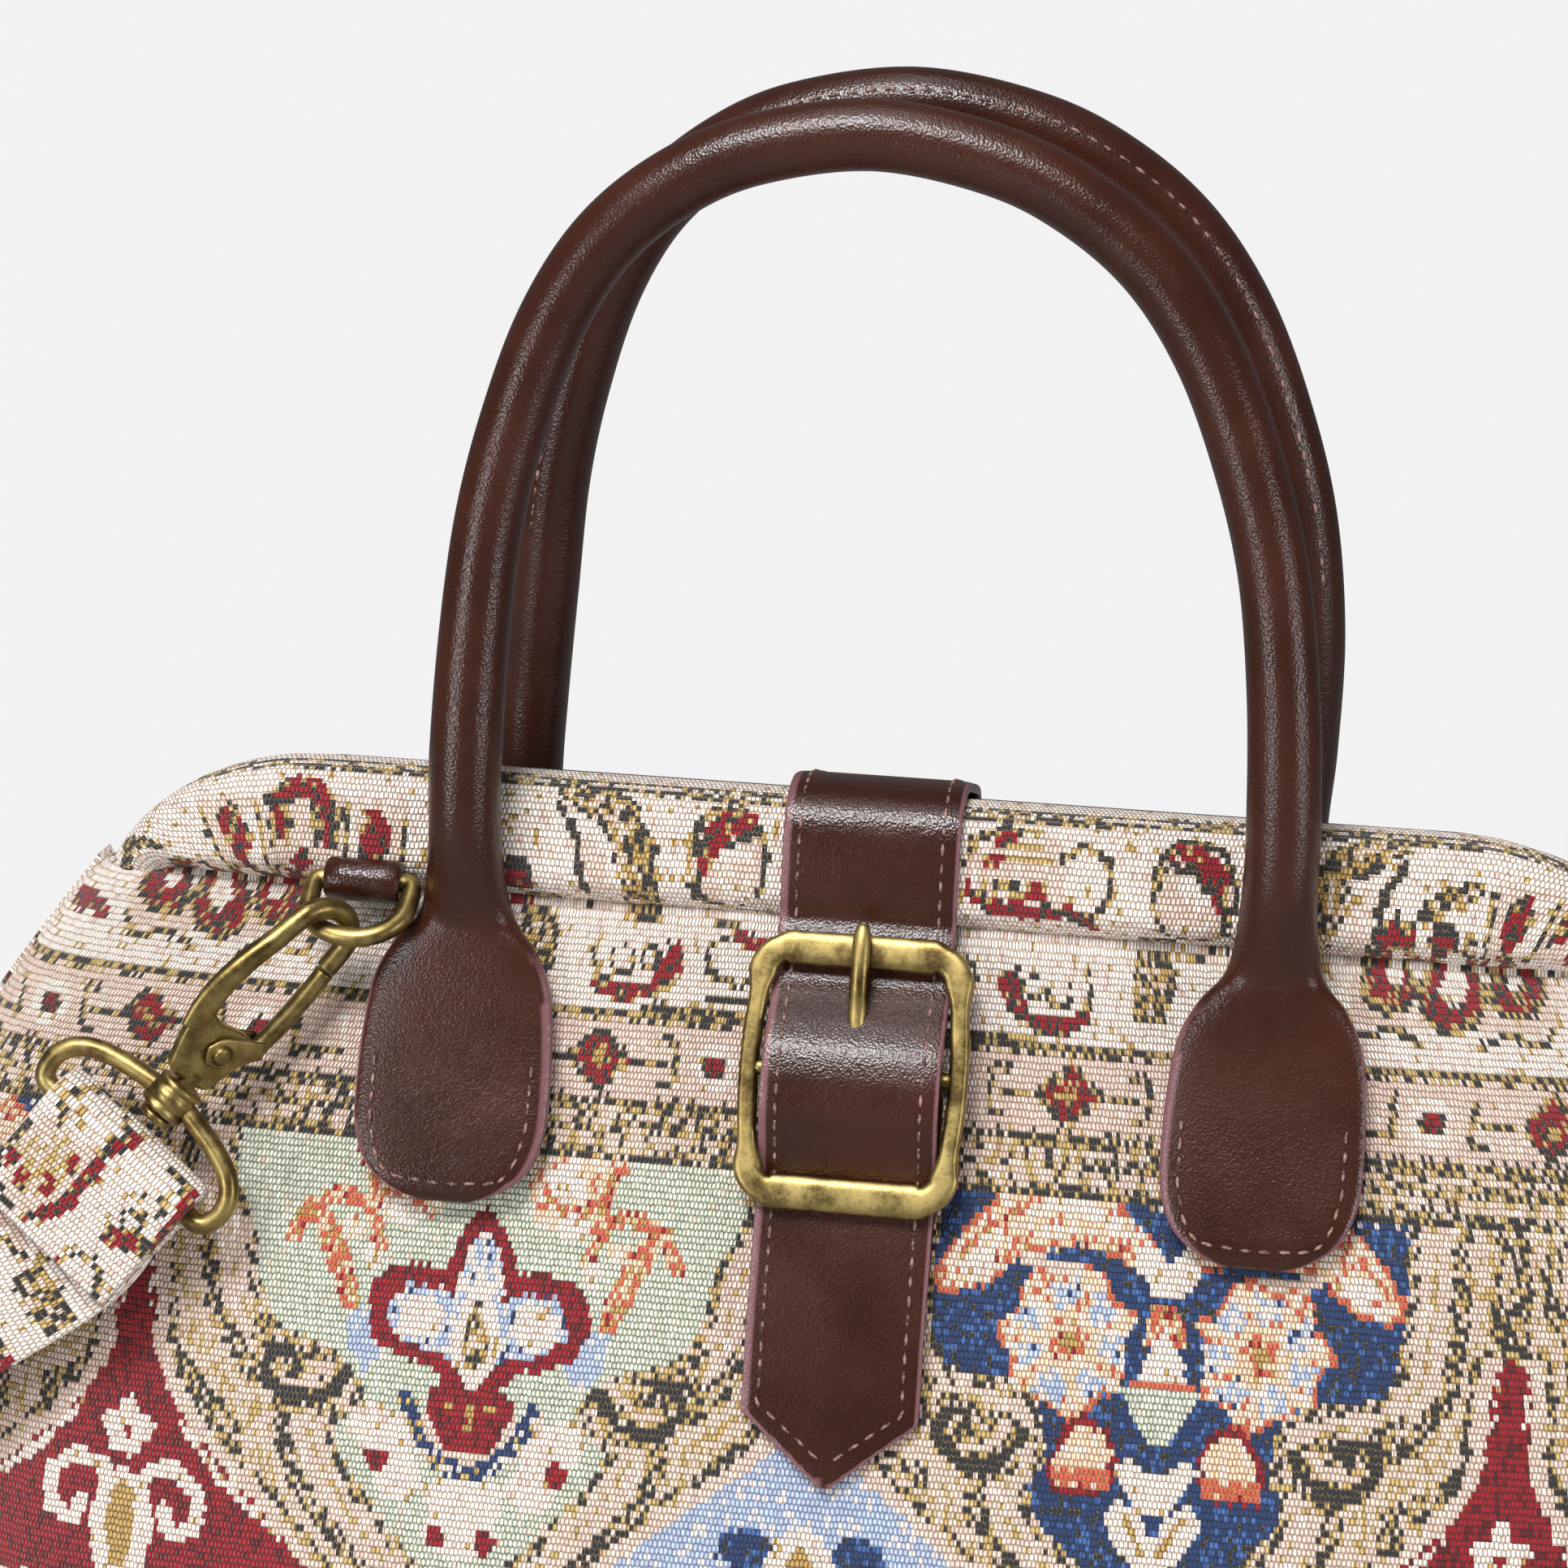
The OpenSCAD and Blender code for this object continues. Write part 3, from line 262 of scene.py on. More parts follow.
# Single stitches of another yarn in a plain ground
flecks = (("cream", "rose", 0.14), ("cream", "gold", 0.04), ("mint", "leaf", 0.30),
          ("mint", "beige", 0.02), ("navy", "azure", 0.34), ("navy", "black", 0.12),
          ("red", "wine", 0.24), ("sky", "cream", 0.14), ("peach", "cream", 0.16))
names = list(yarns) + list(mixes)


def linear(code):
    c = np.array([int(code[k:k + 2], 16) / 255 for k in (0, 2, 4)])
    return np.where(c <= 0.04045, c / 12.92, ((c + 0.055) / 1.055) ** 2.4)


def oval(x, y, cx, cy, rx, ry, turn=0.0):
    c, s = math.cos(math.radians(turn)), math.sin(math.radians(turn))
    u, v = (x - cx) * c + (y - cy) * s, (y - cy) * c - (x - cx) * s
    return np.hypot(u / rx, v / ry) < 1


def stroke(x, y, points, width, taper=0.0):
    # Line through points, thinner towards its ends by the taper
    best = np.full(x.shape, 1e9)
    count = len(points) - 1
    for k, ((x0, y0), (x1, y1)) in enumerate(zip(points, points[1:])):
        t = np.clip(((x - x0) * (x1 - x0) + (y - y0) * (y1 - y0)) / ((x1 - x0) ** 2 + (y1 - y0) ** 2), 0, 1)
        run = (k + t) / count
        half = width / 2 * (1 - taper * np.abs(2 * run - 1) ** 2)
        best = np.minimum(best, np.hypot(x - x0 - t * (x1 - x0), y - y0 - t * (y1 - y0)) - half)
    return best < 0


def area(x, y, points):
    # Closed outline through points
    inside = np.zeros(x.shape, bool)
    for (x0, y0), (x1, y1) in zip(points, points[1:] + points[:1]):
        if y0 != y1:
            inside ^= ((y0 > y) != (y1 > y)) & (x < (x1 - x0) * (y - y0) / (y1 - y0) + x0)
    return inside


def border(cloth, x, v):
    # Cream flower border along the mouth, with a rosette band and a speckled band under it
    def sew(yarn, mask):
        cloth[mask] = names.index(yarn)

    sew("cream", v < 21)
    for y in (-28.4, -25.9):
        sew("thread", (np.abs(v - y - 0.9 * np.cos(x / 37)) < 0.85) & (v < -24))
    # Horseshoes and petals at both ends, ovals and feathers towards the middle
    for c in (-127, 157):
        m = np.abs(x - c)
        sew("stripe", (m < 24) & (v > -19) & (v < -2))
        for k in (10.5, 16, 23.5):
            sew("thread", (np.abs(m - k) < 0.8) & (v > -19 + k * 0.12) & (v < -1))
        sew("cream", (m > 11) & (m < 15.5) & (v > -17) & (v < -4))
        sew("garnet", (m < 6.6) & (v > -24 + m * m * 0.09) & (v < -8.5))
        sew("stripe", (m < 3.2) & (v > -18.5) & (v < 0))
        sew("thread", (np.abs(m - 7.4) < 0.8) & (v > -20) & (v < -7))
        sew("thread", (np.abs(m - 3.2) < 0.7) & (v > -18) & (v < -8))
        sew("garnet", oval(m, v, 17, -10.5, 3.3, 7))
        sew("black", (np.abs(m - 17) < 0.7) & (v > -4) & (v < -1))
        sew("garnet", oval(m, v, 0, -4, 2.2, 3))
    for c, side in ((-31.5, -1), (70, 1)):
        m = (x - c) * side
        sew("thread", oval(m, v, 0, -11.5, 9.4, 12.4))
        sew("stripe", oval(m, v, 0, -11, 7.8, 10.8))
        sew("cream", oval(m, v, 1.5, -13, 5, 3.4) | oval(m, v, -2, -3, 4, 2.6))
        sew("black", stroke(m, v, [(-7, -19), (0, -15), (6, -9), (7, -2)], 1.6))
        sew("garnet", stroke(m, v, [(-5.5, -20.5), (1, -19), (5, -14), (5.5, -9)], 5.2, 0.55))
    for c, side in ((-58, 1), (103, -1)):
        m = (x - c) * side
        sew("thread", stroke(m, v, [(-9, -25), (2, -20), (7, -11), (9, 0)], 8.5, 0.3))
        sew("gilt", stroke(m, v, [(-8, -24.5), (1, -20), (4.5, -11), (5.5, 0)], 5.6, 0.3))
        sew("stripe", stroke(m, v, [(-7, -14), (-2.5, -9), (-1.5, -2)], 5.5, 0.2))
        sew("black", stroke(m, v, [(-11, -21), (-8, -16), (-6, -9), (-4, -1)], 1.8))
        sew("black", oval(m, v, -20, -5.5, 3.4, 4))
        sew("garnet", oval(m, v, -20, -3.2, 3, 3.2))
        sew("gilt", oval(m, v, -26, -3, 2, 4))
    # Broad scroll right of the strap, small leaves towards the right end
    sew("stripe", oval(x, v, 33, -12.5, 13, 9.5))
    sew("thread", stroke(x, v, [(20, -14), (22, -20), (28, -23), (36, -22.5)], 1.8))
    sew("tan", ((v + 30) % 2.6 < 1.2) & oval(x, v, 32, -14, 8.5, 6.5))
    sew("cream", oval(x, v, 46.5, -13.5, 5.2, 6.6))
    sew("thread", stroke(x, v, [(42, -17), (46, -20.5), (51, -17), (52, -10), (48, -4.5)], 1.8))
    for spot in ((28.5, -20.2), (26.2, -15.4), (29.5, -10.2), (36.5, -9.2)):
        sew("garnet", oval(x, v, spot[0], spot[1], 2.4, 1.7, -30))
    sew("garnet", stroke(x, v, [(20.5, -9.5), (27, -5.2), (36, -4.6), (43, -5.6), (49, -2.6)], 3.8, 0.4))
    sew("thread", stroke(x, v, [(118, -10), (123, -14), (130, -16.5)], 5.5, 0.5))
    sew("gilt", stroke(x, v, [(119, -10), (123, -13.2), (129, -15.8)], 3.2, 0.5))
    sew("black", oval(x, v, 112.6, -5.6, 4.6, 4.6))
    sew("garnet", oval(x, v, 113, -5, 3.8, 4.4))
    sew("thread", stroke(x, v, [(-178, -2), (-170, -7), (-163, -6)], 3.4, 0.4))
    # Under the seam: trumpets, crescents, scallops
    sew("thread", (v > 18.6) & (v < 20.2) & (np.abs(np.abs(x + 5) - 30) < 13))
    for c, side in ((-50, 1), (39, -1)):
        m = (x - c) * side
        sew("thread", oval(m, v, -1, 9.5, 9.5, 9.2) & (v > 4))
        sew("cream", oval(m, v, -1.5, 8, 8, 7.5))
        sew("thread", oval(m, v, -3.5, 10, 3.2, 3.4) | oval(m, v, 2.5, 8.8, 2.6, 3))
        sew("cream", oval(m, v, -3.5, 9.4, 2.1, 2.4) | oval(m, v, 2.5, 8.2, 1.6, 2))
        sew("garnet", stroke(m, v, [(-10, 14.5), (-3, 17), (2, 16)], 4.4, 0.6))
        sew("garnet", stroke(m, v, [(4, 14.5), (7.5, 10), (8.8, 6)], 4.4, 0.5))
        sew("thread", oval(m, v, 22, 8, 7.6, 6))
        sew("cream", oval(m, v, 22, 7.6, 6, 4.6))
        sew("garnet", oval(m, v, 24, 3.6, 4.4, 1.8, 20))
        sew("black", stroke(m, v, [(16, 16.8), (24, 16.8), (31, 17)], 1.5))
        sew("thread", area(m, v, [(-27, 0), (-19, 0), (-18.4, 8), (-20, 14.5), (-26, 14.5), (-28, 8)]))
        sew("gilt", area(m, v, [(-25.6, 1), (-20.4, 1), (-20, 8), (-21.4, 13), (-25, 13), (-26.4, 8)]))
    for c in (126, -146):
        m = np.abs(x - c)
        sew("stripe", (m < 22) & (v > 0.5) & (v < 12))
        sew("thread", oval(m, v, 0, 5, 7.4, 8) | oval(m, v, 13.5, 3, 6.4, 6.2))
        sew("garnet", oval(m, v, 0, 4.6, 6, 6.6) | oval(m, v, 13.5, 2.4, 5, 4.8))
        sew("cream", oval(m, v, 0, 2.2, 2.8, 4.2) | oval(m, v, 12.5, 0.4, 1.6, 2.4))
        sew("thread", stroke(m, v, [(6, 15), (12, 12), (20, 14.5), (23, 9)], 1.6))
        sew("garnet", oval(m, v, 30, 9, 3.2, 2, -20))
    sew("garnet", oval(x, v, -181, 8, 4.4, 2.6, -15))
    # Dashed line, rosette band, dark line, speckled band with two rows of pale squares
    sew("thread", (v >= 20.6) & (v < 22.8))
    sew("stripe", (v >= 22.8) & (v < 39.4))
    sew("rose", (v >= 22.8) & (v < 26.6) | (v >= 36.4) & (v < 39.4))
    r = np.abs((x + 57 + 51.5) % 103 - 51.5)
    y = v - 31.6
    sew("comb", (r + np.abs(y) < 7.8) & (v < 39) & (v > 23))
    sew("garnet", (r + np.abs(y) < 6.2) & ((r > 1) | (np.abs(y) > 1)))
    sew("gold", (r < 1.4) & (np.abs(y) < 1.4))
    sew("thread", (np.abs(y) < 0.9) & (r > 8) & (r < 15))
    sew("thread", stroke(r, y, [(13, -5), (17, -5), (17, 4), (14, 5)], 1.3))
    sew("cream", oval(r, y, 25.5, 0, 4.6, 5.2))
    sew("black", (np.hypot(r - 25.5, y) < 2.7))
    sew("red", oval(r, y, 25.5, 0, 1.8, 1.9))
    sew("thread", (np.abs(r - 34) < 0.8) & (np.abs(y) < 5.5) | (np.abs(y - 3.6) < 0.8) & (r > 33) & (r < 46))
    sew("speckle", (v >= 39.4) & (v < 54))
    sew("comb", (v >= 39.4) & (v < 41) | (v >= 52.3) & (v < 54))
    sew("stripe", (np.abs(v - 44.2) < 0.9) & ((x + 200) % 3.8 < 1.9))
    sew("stripe", (np.abs(v - 49.2) < 1.7) & ((x + 200) % 5.6 < 3.0))


def near(x, y, points):
    # Distance to an open line through points
    best = np.full(x.shape, 1e9)
    for (x0, y0), (x1, y1) in zip(points, points[1:]):
        t = np.clip(((x - x0) * (x1 - x0) + (y - y0) * (y1 - y0)) / ((x1 - x0) ** 2 + (y1 - y0) ** 2), 0, 1)
        best = np.minimum(best, np.hypot(x - x0 - t * (x1 - x0), y - y0 - t * (y1 - y0)))
    return best


def past_rim(x, y, points, rim):
    # Distance to the rim of an outline, negative inside the outline
    d = near(x, y, rim)
    return np.where(area(x, y, points), -d, d)


def field(cloth, x, v):
    # Main field: mint and navy shields between red spires and a pale blue ogee, parted by ribbons
    def sew(yarn, mask):
        cloth[mask] = names.index(yarn)

    low = v >= 54
    sew("ribbon", low)
    pitch = 149.3
    shields = {
        "mint": [(0, 54), (57, 54), (58, 64), (52, 76), (50, 88), (44, 97), (34, 99), (28, 103),
                 (24, 108), (26, 113), (31, 117), (29, 122), (22, 131), (13, 141), (5, 149), (0, 153)],
        "navy": [(0, 54), (50, 54), (51, 70), (50, 85), (46, 92), (36, 93), (27, 96), (25, 101),
                 (24, 110), (27, 114), (27, 119), (22, 126), (14, 133), (6, 140), (0, 146)],
    }
    for (ground, motif), cx in ((("mint", palmette), -79), (("navy", bouquet), 70.3)):
        m = np.abs((x - cx + pitch) % (2 * pitch) - pitch)
        # The lower half of the bag repeats the shields, under a plain ribbon
        for top, bottom, drop in ((54, 176, 0), (190, 330, 136)):
            here = (v >= top) & (v < bottom) & (m < pitch / 2 + 6)
            y = v - drop
            d = past_rim(m, y, shields[ground], shields[ground][1:])
            # Feathered bands that follow the shield's rim outwards, dark and pale in turn
            for k in range(3):
                far = 8.6 + 12.6 * k
                tick = (m * 0.8 + y * 0.8 + 1.6 * k) % 3.2 < 2.4
                sew("comb", here & (d > far) & (d < far + 4.6) & tick)
                sew("tan", here & (d > far + 8.2) & (d < far + 9.2) & ((m - y) % 5.0 < 3.2))
            sew("stripe", here & (d < 8.6) & (d > 2.2))
            sew("tan", here & (d < 5.6) & (d > 4.6) & ((m - y) % 5.0 < 3.2))
            sew("comb", here & (d <= 2.2) & ((m * 0.9 + y * 0.5) % 2.8 < 1.6))
            sew(ground, here & (d < -0.4))
            motif(sew, here & (d < -0.6), m, y - 95)
            horn = [(27, 103), (36, 99), (45, 97), (52, 92), (50, 104), (44, 113), (35, 116), (29, 112)]
            curl = [(28, 104), (33, 110.5), (41, 112), (47, 107), (46, 101), (41, 101), (40, 105)]
            sew("speckle", here & area(m, y, horn))
            sew("black", here & stroke(m, y, curl, 2.6, 0.3))
            sew("rose", here & stroke(m, y, [(32, 103), (36, 107.5), (42, 108)], 1.8))
    # Red spires with a pale rim between the shields, at the left and right
    for cx in (-157.0, 144.0):
        m = np.abs(x - cx)
        tip = [(0, 80), (3.4, 84), (4.4, 92), (4.6, 104), (8, 112), (13, 119), (20, 126), (33, 137),
               (47, 152), (60, 174), (44, 198), (20, 214), (0, 228)]
        d = past_rim(m, v, tip, tip[1:-1])
        here = low & (v < 230)
        sew("comb", here & (d < 5.4) & (d > 3.6) & ((m + v) % 3.0 < 2.0))
        sew("stripe", here & (d < 3.2))
        sew("red", here & (d < 0.0))
        spire(sew, here & (d < -0.6), m, v - 165)
    # Pale blue ogee under the strap
    m = np.abs(x + 4.3)
    tip = [(0, 102), (4, 108), (10, 115), (18, 122), (28, 130), (38, 138), (50, 150), (58, 166),
           (48, 186), (24, 204), (0, 216)]
    d = past_rim(m, v, tip, tip[1:-1])
    here = low & (v < 222)
    sew("comb", here & (d < 5.4) & (d > 3.6) & ((m + v) % 3.0 < 2.0))
    sew("stripe", here & (d < 3.2))
    sew("sky", here & (d < 0.0))
    heart = here & (d < -0.5)
    sew("navy", heart & area(m, v, [(6, 133), (10, 130), (17, 131), (19, 136), (12, 140), (6, 139)]))
    sew("cream", heart & area(m, v, [(0, 128), (5, 131), (8, 137), (6, 146), (0, 150)]))
    sew("gold", heart & area(m, v, [(0, 133), (3, 136), (3, 144), (0, 146)]))
    sew("cream", here & stroke(m, v, [(13, 164), (24, 160), (32, 166), (31, 176), (24, 178)], 3.4))
    sew("cream", here & oval(m, v, 0, 176, 15, 19))
    sew("garnet", here & oval(m, v, 0, 176, 11.5, 15))
    sew("gilt", here & oval(m, v, 0, 176, 6.5, 9))


def palmette(sew, here, m, y):
    # Red-edged palmette with pale petals, coral scrolls above, florets and a cream flower below
    def put(yarn, mask):
        sew(yarn, mask & here)

    put("blush", area(m, y, [(8, -41), (30, -41), (27, -30), (20, -23), (10, -27)]))
    put("scroll", stroke(m, y, [(10, -38), (17, -29), (25, -31), (29, -40)], 2.8))
    put("cream", oval(m, y, 17, -36, 4.6, 4.4) | oval(m, y, 19, -26, 3.4, 3))
    put("scroll", stroke(m, y, [(43, -19), (40, -26), (32, -29.5), (26, -27), (23.5, -19)], 3.6))
    put("scroll", stroke(m, y, [(38, -26), (33, -16), (28.5, -5)], 5.4, 0.3))
    put("blush", oval(m, y, 30, -22, 3, 2.4))
    put("cream", area(m, y, [(24, -20), (27, -17), (25.5, -13), (22, -14)]))
    put("sky", area(m, y, [(25.5, -5), (29.5, -4), (28.5, 5), (24, 9), (20, 5)]))
    put("red", area(m, y, [(0, -29.5), (3, -26.5), (7, -19), (8.6, -13.5), (9.5, -15.2), (20, -15.2),
                           (24.2, -10.5), (25, -4), (23, 2), (15, 5.6), (9.5, 6.4), (7, 10), (0, 14.5)]))
    put("mist", area(m, y, [(0, -25), (3.4, -20), (5.6, -13), (5.2, -8), (9, -10.8), (16.5, -10.8),
                            (20, -7), (20, -1.5), (15.5, 1.8), (9.4, 3.4), (5, 5.4), (0, 12)]))
    put("cream", oval(m, y, 12.6, -3.6, 5.2, 5))
    put("cream", area(m, y, [(0, -17), (3.4, -8), (6, 0), (4, 6), (0, 11.6)]))
    put("gilt", area(m, y, [(0, -10), (2.6, -3), (3.2, 3), (0, 8)]))
    put("stripe", area(m, y, [(0, 20), (16, 14), (16, 22), (6, 29), (0, 30)]))
    put("red", area(m, y, [(0, 11), (9.4, 11.4), (9.4, 17), (4.6, 24.4), (0, 24.6)]))
    put("gold", (m < 0.8) & (y > 13) & (y < 20) | (np.abs(y - 14.4) < 0.8) & (m > 3.4) & (m < 6.4))
    put("dusk", stroke(m, y, [(14.2, 14), (11, 21.5), (6, 27), (0, 29.6)], 3.2))
    put("cream", oval(m, y, 20, 21.5, 8, 5.5, -25) | oval(m, y, 15, 31, 5.4, 5.4))
    put("mint", oval(m, y, 27, 26, 3, 4))
    put("red", oval(m, y, 20.2, 27.6, 2.7, 2.8))
    put("cream", area(m, y, [(0, 31), (4, 30), (9.4, 32), (7.5, 39), (9, 43), (4, 47), (0, 48)]))
    put("mint", oval(m, y, 10.4, 40.5, 2.2, 3.4))
    put("red", oval(m, y, 5.6, 43.4, 2.3, 2.6))


def bouquet(sew, here, m, y):
    # Two round pale flowers, curled peach leaves above, a mint drop and peach palmettes below
    def put(yarn, mask):
        sew(yarn, mask & here)

    put("coral", stroke(m, y, [(6, -31), (18, -39), (32, -37), (42, -27), (47, -23)], 13.5, 0.45))
    put("blush", stroke(m, y, [(6, -31), (18, -39), (32, -37), (42, -27), (46, -23.5)], 11.5, 0.45))
    put("cream", stroke(m, y, [(12, -37), (24, -41), (33, -38)], 4.2, 0.4) | oval(m, y, 41, -26.5, 4, 3.4))
    put("scroll", stroke(m, y, [(11, -31), (20, -33), (29, -30), (36, -27)], 2.2))
    put("scroll", stroke(m, y, [(27, -42), (37, -36), (44, -29)], 1.6))
    put("stripe", stroke(m, y, [(17, -27), (25, -26), (31, -28)], 4, 0.4))
    turn = np.arctan2(y + 11.2, m - 20.5)
    bloom = np.hypot((m - 20.5) / 13.8, (y + 11.2) / 15.0) / (1 + 0.10 * np.cos(7 * turn + 0.6))
    put("coral", bloom < 1.04)
    put("blush", bloom < 0.98)
    put("mist", (bloom < 0.92) & (bloom > 0.5) & (np.cos(7 * turn + 0.6) < 0.3))
    put("peach", bloom < 0.46)
    put("scroll", bloom < 0.30)
    put("gold", bloom < 0.12)
    put("cream", area(m, y, [(0, -29), (3, -33), (6.4, -31), (6.6, -26.5), (2.4, -21.5), (0, -21)]))
    put("navy", area(m, y, [(0, -22), (4, -22), (8, -14), (8.6, -4), (5, 3), (0, 3)]))
    put("scroll", area(m, y, [(0, -21), (3.4, -19.5), (4.8, -12), (0, -12)]))
    put("cream", area(m, y, [(0, -16), (2.4, -12), (4.8, -7), (5.2, -3.4), (0, -3)]))
    put("coral", (np.abs(y + 3) < 0.9) & (m < 7))
    put("mint", area(m, y, [(0, -2.4), (8.8, -2.4), (6.4, 2.2), (3, 8), (0, 9.6)]))
    put("navy", stroke(m, y, [(11, 4), (6, 9), (0, 14)], 4.2))
    put("red", area(m, y, [(8.2, 12), (11, 6.4), (17, 3.6), (21.4, 9), (23.4, 15), (22, 20.6),
                           (11, 20.6), (9, 17)]))
    put("peach", area(m, y, [(9.6, 12), (12, 7.4), (16.6, 5.4), (20, 10), (22, 15), (21, 19.4),
                             (12, 19.4), (10.4, 16)]))
    put("coral", (np.abs(y - 17.6) < 1.7) & (m > 9.8) & (m < 22.4))
    put("cream", area(m, y, [(0, 16), (6, 12.6), (9.4, 14.4), (6.4, 19), (3, 24.6), (0, 24)]))
    put("cream", area(m, y, [(0, 30), (3, 24), (8.4, 20.6), (10, 26), (7.4, 32), (3.4, 36), (0, 37)]))
    put("gold", stroke(m, y, [(1.6, 33), (4, 28), (6.4, 25)], 1.2))
    put("navy", oval(m, y, 17, 28, 6.6, 7))


def spire(sew, here, m, y):
    # Tall spire over a spreading field, with a cross floret and curled scrolls inside
    def put(yarn, mask):
        sew(yarn, mask & here)

    # The rim first, then the red field inside it
    put("cream", area(m, y, [(0, -86), (5, -76), (8, -64), (12, -52), (24, -36), (46, -20), (62, 0), (0, 6)]))
    put("red", area(m, y, [(0, -86), (2.6, -82), (3, -70), (6.4, -66), (7.4, -54), (12.6, -44), (21, -34),
                           (40, -20), (56, 0), (40, 22), (0, 60)]))
    put("cream", area(m, y, [(0, -50), (2, -49), (2.2, -46.6), (7.4, -44), (5, -40.4), (3, -36.4), (0, -36)]))
    put("red", oval(m, y, 0, -41.6, 1.3, 1.3))
    put("cream", stroke(m, y, [(5, -33), (12, -35), (18, -30), (18, -22), (12, -20), (10, -25)], 3.6))
    put("cream", area(m, y, [(0, -34), (6, -30), (8, -22), (6, -10), (0, -6)]))
    put("gold", area(m, y, [(0, -31), (3, -28), (3.4, -20), (2, -12), (0, -11)]))
    put("stripe", oval(m, y, 0, 8, 12, 12))
    put("cream", stroke(m, y, [(14, 4), (24, -4), (32, -2), (30, 8), (22, 10)], 4))


def tapestry(x, v, seed):
    # Pile and binding colour of every stitch at a place across and below the mouth seam
    cloth = np.zeros(x.shape, int)
    dice = np.random.default_rng(seed)
    loose_x, loose_v = x + 0.8 * (dice.random(x.shape) - 0.5), v + 0.8 * (dice.random(x.shape) - 0.5)
    field(cloth, loose_x, loose_v)
    border(cloth, loose_x, np.where(v < 54, loose_v, 999.0))
    chance = dice.random(x.shape)
    picked = cloth.copy()
    for yarn, fleck, share in flecks:
        picked[(cloth == names.index(yarn)) & (chance < share)] = names.index(fleck)
    for mix, parts in mixes.items():
        edges = np.cumsum([0] + [share for _, share in parts])
        for (yarn, _), lo, hi in zip(parts, edges, edges[1:]):
            picked[(cloth == names.index(mix)) & (chance >= lo) & (chance < hi + 1e-9)] = names.index(yarn)
    pile = np.array([linear(a) for a, _ in yarns.values()])[picked]
    bind = np.array([linear(b) for _, b in yarns.values()])[picked]
    return pile, bind


def dye(piece, cell, pile, bind):
    for name, tone in (("pile", pile), ("bind", bind)):
        layer = piece.data.color_attributes.new(name, "FLOAT_COLOR", "CORNER")
        rgba = np.ones((len(cell[0]), 4))
        rgba[:, :3] = tone[cell]
        layer.data.foreach_set("color", np.repeat(rgba, 4, axis=0).ravel())


def shader_group(name, inputs, outputs):
    group = bpy.data.node_groups.new(name, "ShaderNodeTree")
    for label, kind, value in inputs:
        socket = group.interface.new_socket(label, in_out="INPUT", socket_type=kind)
        if value is not None:
            socket.default_value = value
    for label, kind in outputs:
        group.interface.new_socket(label, in_out="OUTPUT", socket_type=kind)
    return group, group.nodes.new("NodeGroupInput"), group.nodes.new("NodeGroupOutput")


def node(tree, kind, links=None, **values):
    # One shader node: attributes and plain input values by name, links by input name or number
    made = tree.nodes.new(kind)
    for key, value in values.items():
        setattr(made, key, value)
    for key, source in (links or {}).items():
        if isinstance(source, bpy.types.NodeSocket):
            tree.links.new(source, made.inputs[key])
        else:
            made.inputs[key].default_value = source
    return made


def maths(tree, operation, a, b=0.5):
    return node(tree, "ShaderNodeMath", {0: a, 1: b}, operation=operation).outputs[0]


def noise(tree, place, scale, detail, rough=0.5):
    links = {"Vector": place, "Scale": scale, "Detail": detail, "Roughness": rough}
    return node(tree, "ShaderNodeTexNoise", links)


def ramp(tree, value, low, high, to_low=0.0, to_high=1.0):
    span = {"Value": value, "From Min": low, "From Max": high, "To Min": to_low, "To Max": to_high}
    return node(tree, "ShaderNodeMapRange", span, interpolation_type="SMOOTHSTEP").outputs["Result"]


def blend(tree, factor, a, b):
    # Mix of two colours, each given as a socket or as a colour code
    a, b = ((*linear(tone), 1) if isinstance(tone, str) else tone for tone in (a, b))
    return node(tree, "ShaderNodeMix", {0: factor, 6: a, 7: b}, data_type="RGBA").outputs[2]


def new_finish(name):
    stuff = bpy.data.materials.new(name)
    stuff.use_nodes = True
    return stuff, stuff.node_tree, stuff.node_tree.nodes["Principled BSDF"]


def dress(tree, look, effect, strength, distance):
    # Joins a shared effect's colour, roughness and height to the material's own surface
    bumps = {"Height": effect.outputs["Height"], "Strength": strength, "Distance": distance}
    relief = node(tree, "ShaderNodeBump", bumps)
    tree.links.new(effect.outputs["Color"], look.inputs["Base Color"])
    tree.links.new(effect.outputs["Roughness"], look.inputs["Roughness"])
    tree.links.new(relief.outputs[0], look.inputs["Normal"])


# Weave: one tuft of pile to a stitch, binding threads in the gaps between rows, loose fibres over both, and
# painted shade that darkens each tuft towards its edges
weave, given, made = shader_group(
    "woven_pile", [("Stitch", "NodeSocketVector", None), ("Pile", "NodeSocketColor", None),
                   ("Binding", "NodeSocketColor", None)],
    [("Color", "NodeSocketColor"), ("Height", "NodeSocketFloat"), ("Roughness", "NodeSocketFloat")])
given_stitch = given.outputs["Stitch"]
wobble = noise(weave, given_stitch, 0.45, 1.0)
shift = node(weave, "ShaderNodeVectorMath", {0: wobble.outputs["Color"], 1: (0.5, 0.5, 0.5)},
             operation="SUBTRACT")
shift = node(weave, "ShaderNodeVectorMath", {0: shift.outputs[0], "Scale": 0.5}, operation="SCALE")
place = node(weave, "ShaderNodeVectorMath", {0: given_stitch, 1: shift.outputs[0]}, operation="ADD")
parts = node(weave, "ShaderNodeSeparateXYZ", {0: place.outputs[0]})
tuft_row = parts.outputs[1]
odd = maths(weave, "MULTIPLY", maths(weave, "MODULO", maths(weave, "FLOOR", tuft_row), 2.0), 0.5)
brick = maths(weave, "ADD", parts.outputs[0], odd)


def off_middle(value):
    # Distance from the middle of a stitch: 0 there and 1 at its edge
    gap = maths(weave, "SUBTRACT", maths(weave, "FRACT", value), 0.5)
    return maths(weave, "MULTIPLY", maths(weave, "ABSOLUTE", gap), 2.0)


